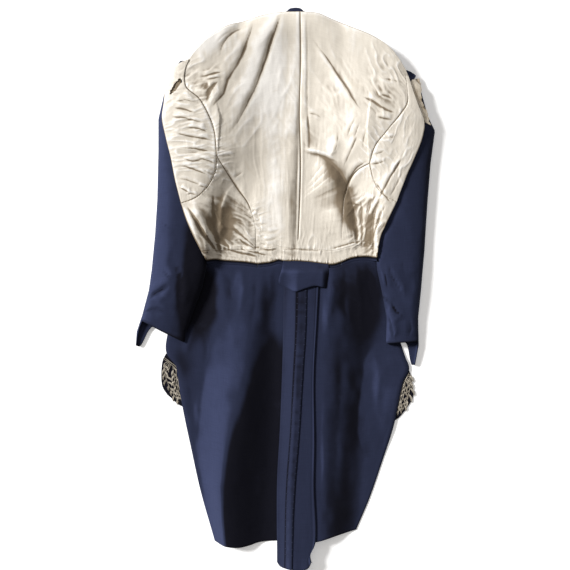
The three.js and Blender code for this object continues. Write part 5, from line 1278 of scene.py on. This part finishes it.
def pocketFlap(sideName, part):  # the cloth, the leaves over it, and cords along the border, the scroll and the stems
    title = sideName.title()
    left = sideName == "left"
    outer, inner = (drawn(part[key], flaps["rows"]) for key in ("outer", "inner"))
    first, second = (outer, inner) if left else (inner, outer)
    grid = spannedGrid(first, second, flaps["columns"], part["foot"])
    z = flaps["top"] - turnDown(edgeDistance(grid), flaps["fall"])
    base = clothPiece("pocketFlap" + title, np.dstack([grid, z]), flaps["thick"], wool,
                      hollow=np.full(z.shape, flaps["dark"]))
    finishPiece(base, ["pocket_flap_" + sideName], part["cut"])
    domes = [dome for stem in part["stems"] for dome in spray(*stem)]
    shape, long = np.concatenate(domes, axis=0), len(domes[0])
    keep = np.ones((shape.shape[0] - 1, shape.shape[1] - 1), bool)
    keep[long - 1::long] = False
    # painted shade towards each leaf's edges, and a tone that differs from leaf to leaf
    depth = 0.3 + 0.5 * np.abs(np.linspace(-1, 1, 9)) ** 3
    depth = depth + np.repeat(0.16 * np.sin(2.9 * np.arange(len(domes))), long)[:, None]
    leaves = clothPiece("leafWork" + title, shape, flaps["leafThick"], metalThread, keep=keep, lip=0.2, hollow=depth)
    finishPiece(leaves, [])
    turn = np.linspace(0, 4.6 * np.pi, 60)
    coil = np.stack([part["scroll"][0] + (1 + 0.42 * turn) * np.cos(turn),
                     part["scroll"][1] + (1.2 + 0.6 * turn) * np.sin(turn)], axis=1)
    border = drawn(part["border"], 59)
    inward = np.gradient(border, axis=0)
    inward = np.stack([inward[:, 1], -inward[:, 0]], axis=1) / np.linalg.norm(inward, axis=1, keepdims=True)
    inward = inward * (1 if left else -1)
    lines = [border, border + flaps["borderGap"] * inward, coil]
    radii = [*flaps["radii"][:3]] + [flaps["radii"][3]] * len(part["stems"])
    lines += [drawn(stem[0], 59) for stem in part["stems"]]
    paths = [np.column_stack([line, np.full(len(line), flaps["cordHeight"])]) for line in lines]
    finishPiece(tubes("cordWork" + title, paths, radii, metalThread, flaps["sides"]), [])


for sideName in body:
    pocketFlap(sideName, flaps[sideName])
print("stage: flaps made")

# light, camera and the surface it lies on
light = {"keyFrom": (-0.92, 0.4), "keyHeight": 34, "keySoft": 14, "keyPower": 4.9, "fillFrom": (0.2, 0.9),
         "fillHeight": 60, "fillSoft": 60, "fillPower": 0.4, "sky": 0.2, "skyColor": (1, 0.93, 0.85, 1)}
floorLook = {"Base Color": (0.95, 0.95, 0.95, 1), "Roughness": 0.9, "Emission Color": (1, 1, 1, 1),
             "Emission Strength": 0.3}
view = {"place": (-0.009, -0.0414, 2.4225), "lens": 85, "sensor": 36}

floorMaterial = bpy.data.materials.new("paleSurface")
floorMaterial.use_nodes = True
for key, value in floorLook.items():
    floorMaterial.node_tree.nodes["Principled BSDF"].inputs[key].default_value = value
bpy.ops.mesh.primitive_plane_add(size=8, location=(0, 0, -0.0005))
floorPlane = bpy.context.object
floorPlane.name = "floor"
floorPlane.data.materials.append(floorMaterial)


def softLight(name, fromSide, height, softness, power):  # a far broad lamp, so that it is even over the coat
    lamp = bpy.data.lights.new(name, "SUN")
    lamp.angle, lamp.energy = math.radians(softness), power
    made = bpy.data.objects.new(name, lamp)
    bpy.context.collection.objects.link(made)
    made.location = (3 * fromSide[0], 3 * fromSide[1], 2)
    made.rotation_euler = (math.radians(90 - height), 0, math.atan2(fromSide[1], fromSide[0]) + math.pi / 2)
    return made


for which in ("key", "fill"):
    softLight(which + "Light", *(light[which + key] for key in ("From", "Height", "Soft", "Power")))
world = bpy.data.worlds.new("studio")
world.use_nodes = True
world.node_tree.nodes["Background"].inputs["Color"].default_value = light["skyColor"]
world.node_tree.nodes["Background"].inputs["Strength"].default_value = light["sky"]
bpy.context.scene.world = world
bpy.context.scene.view_settings.view_transform = "Standard"

lens = bpy.data.cameras.new("camera")
lens.lens, lens.sensor_width = view["lens"], view["sensor"]
camera = bpy.data.objects.new("camera", lens)
camera.location = view["place"]
bpy.context.collection.objects.link(camera)
bpy.context.scene.camera = camera

print("stage: finished")
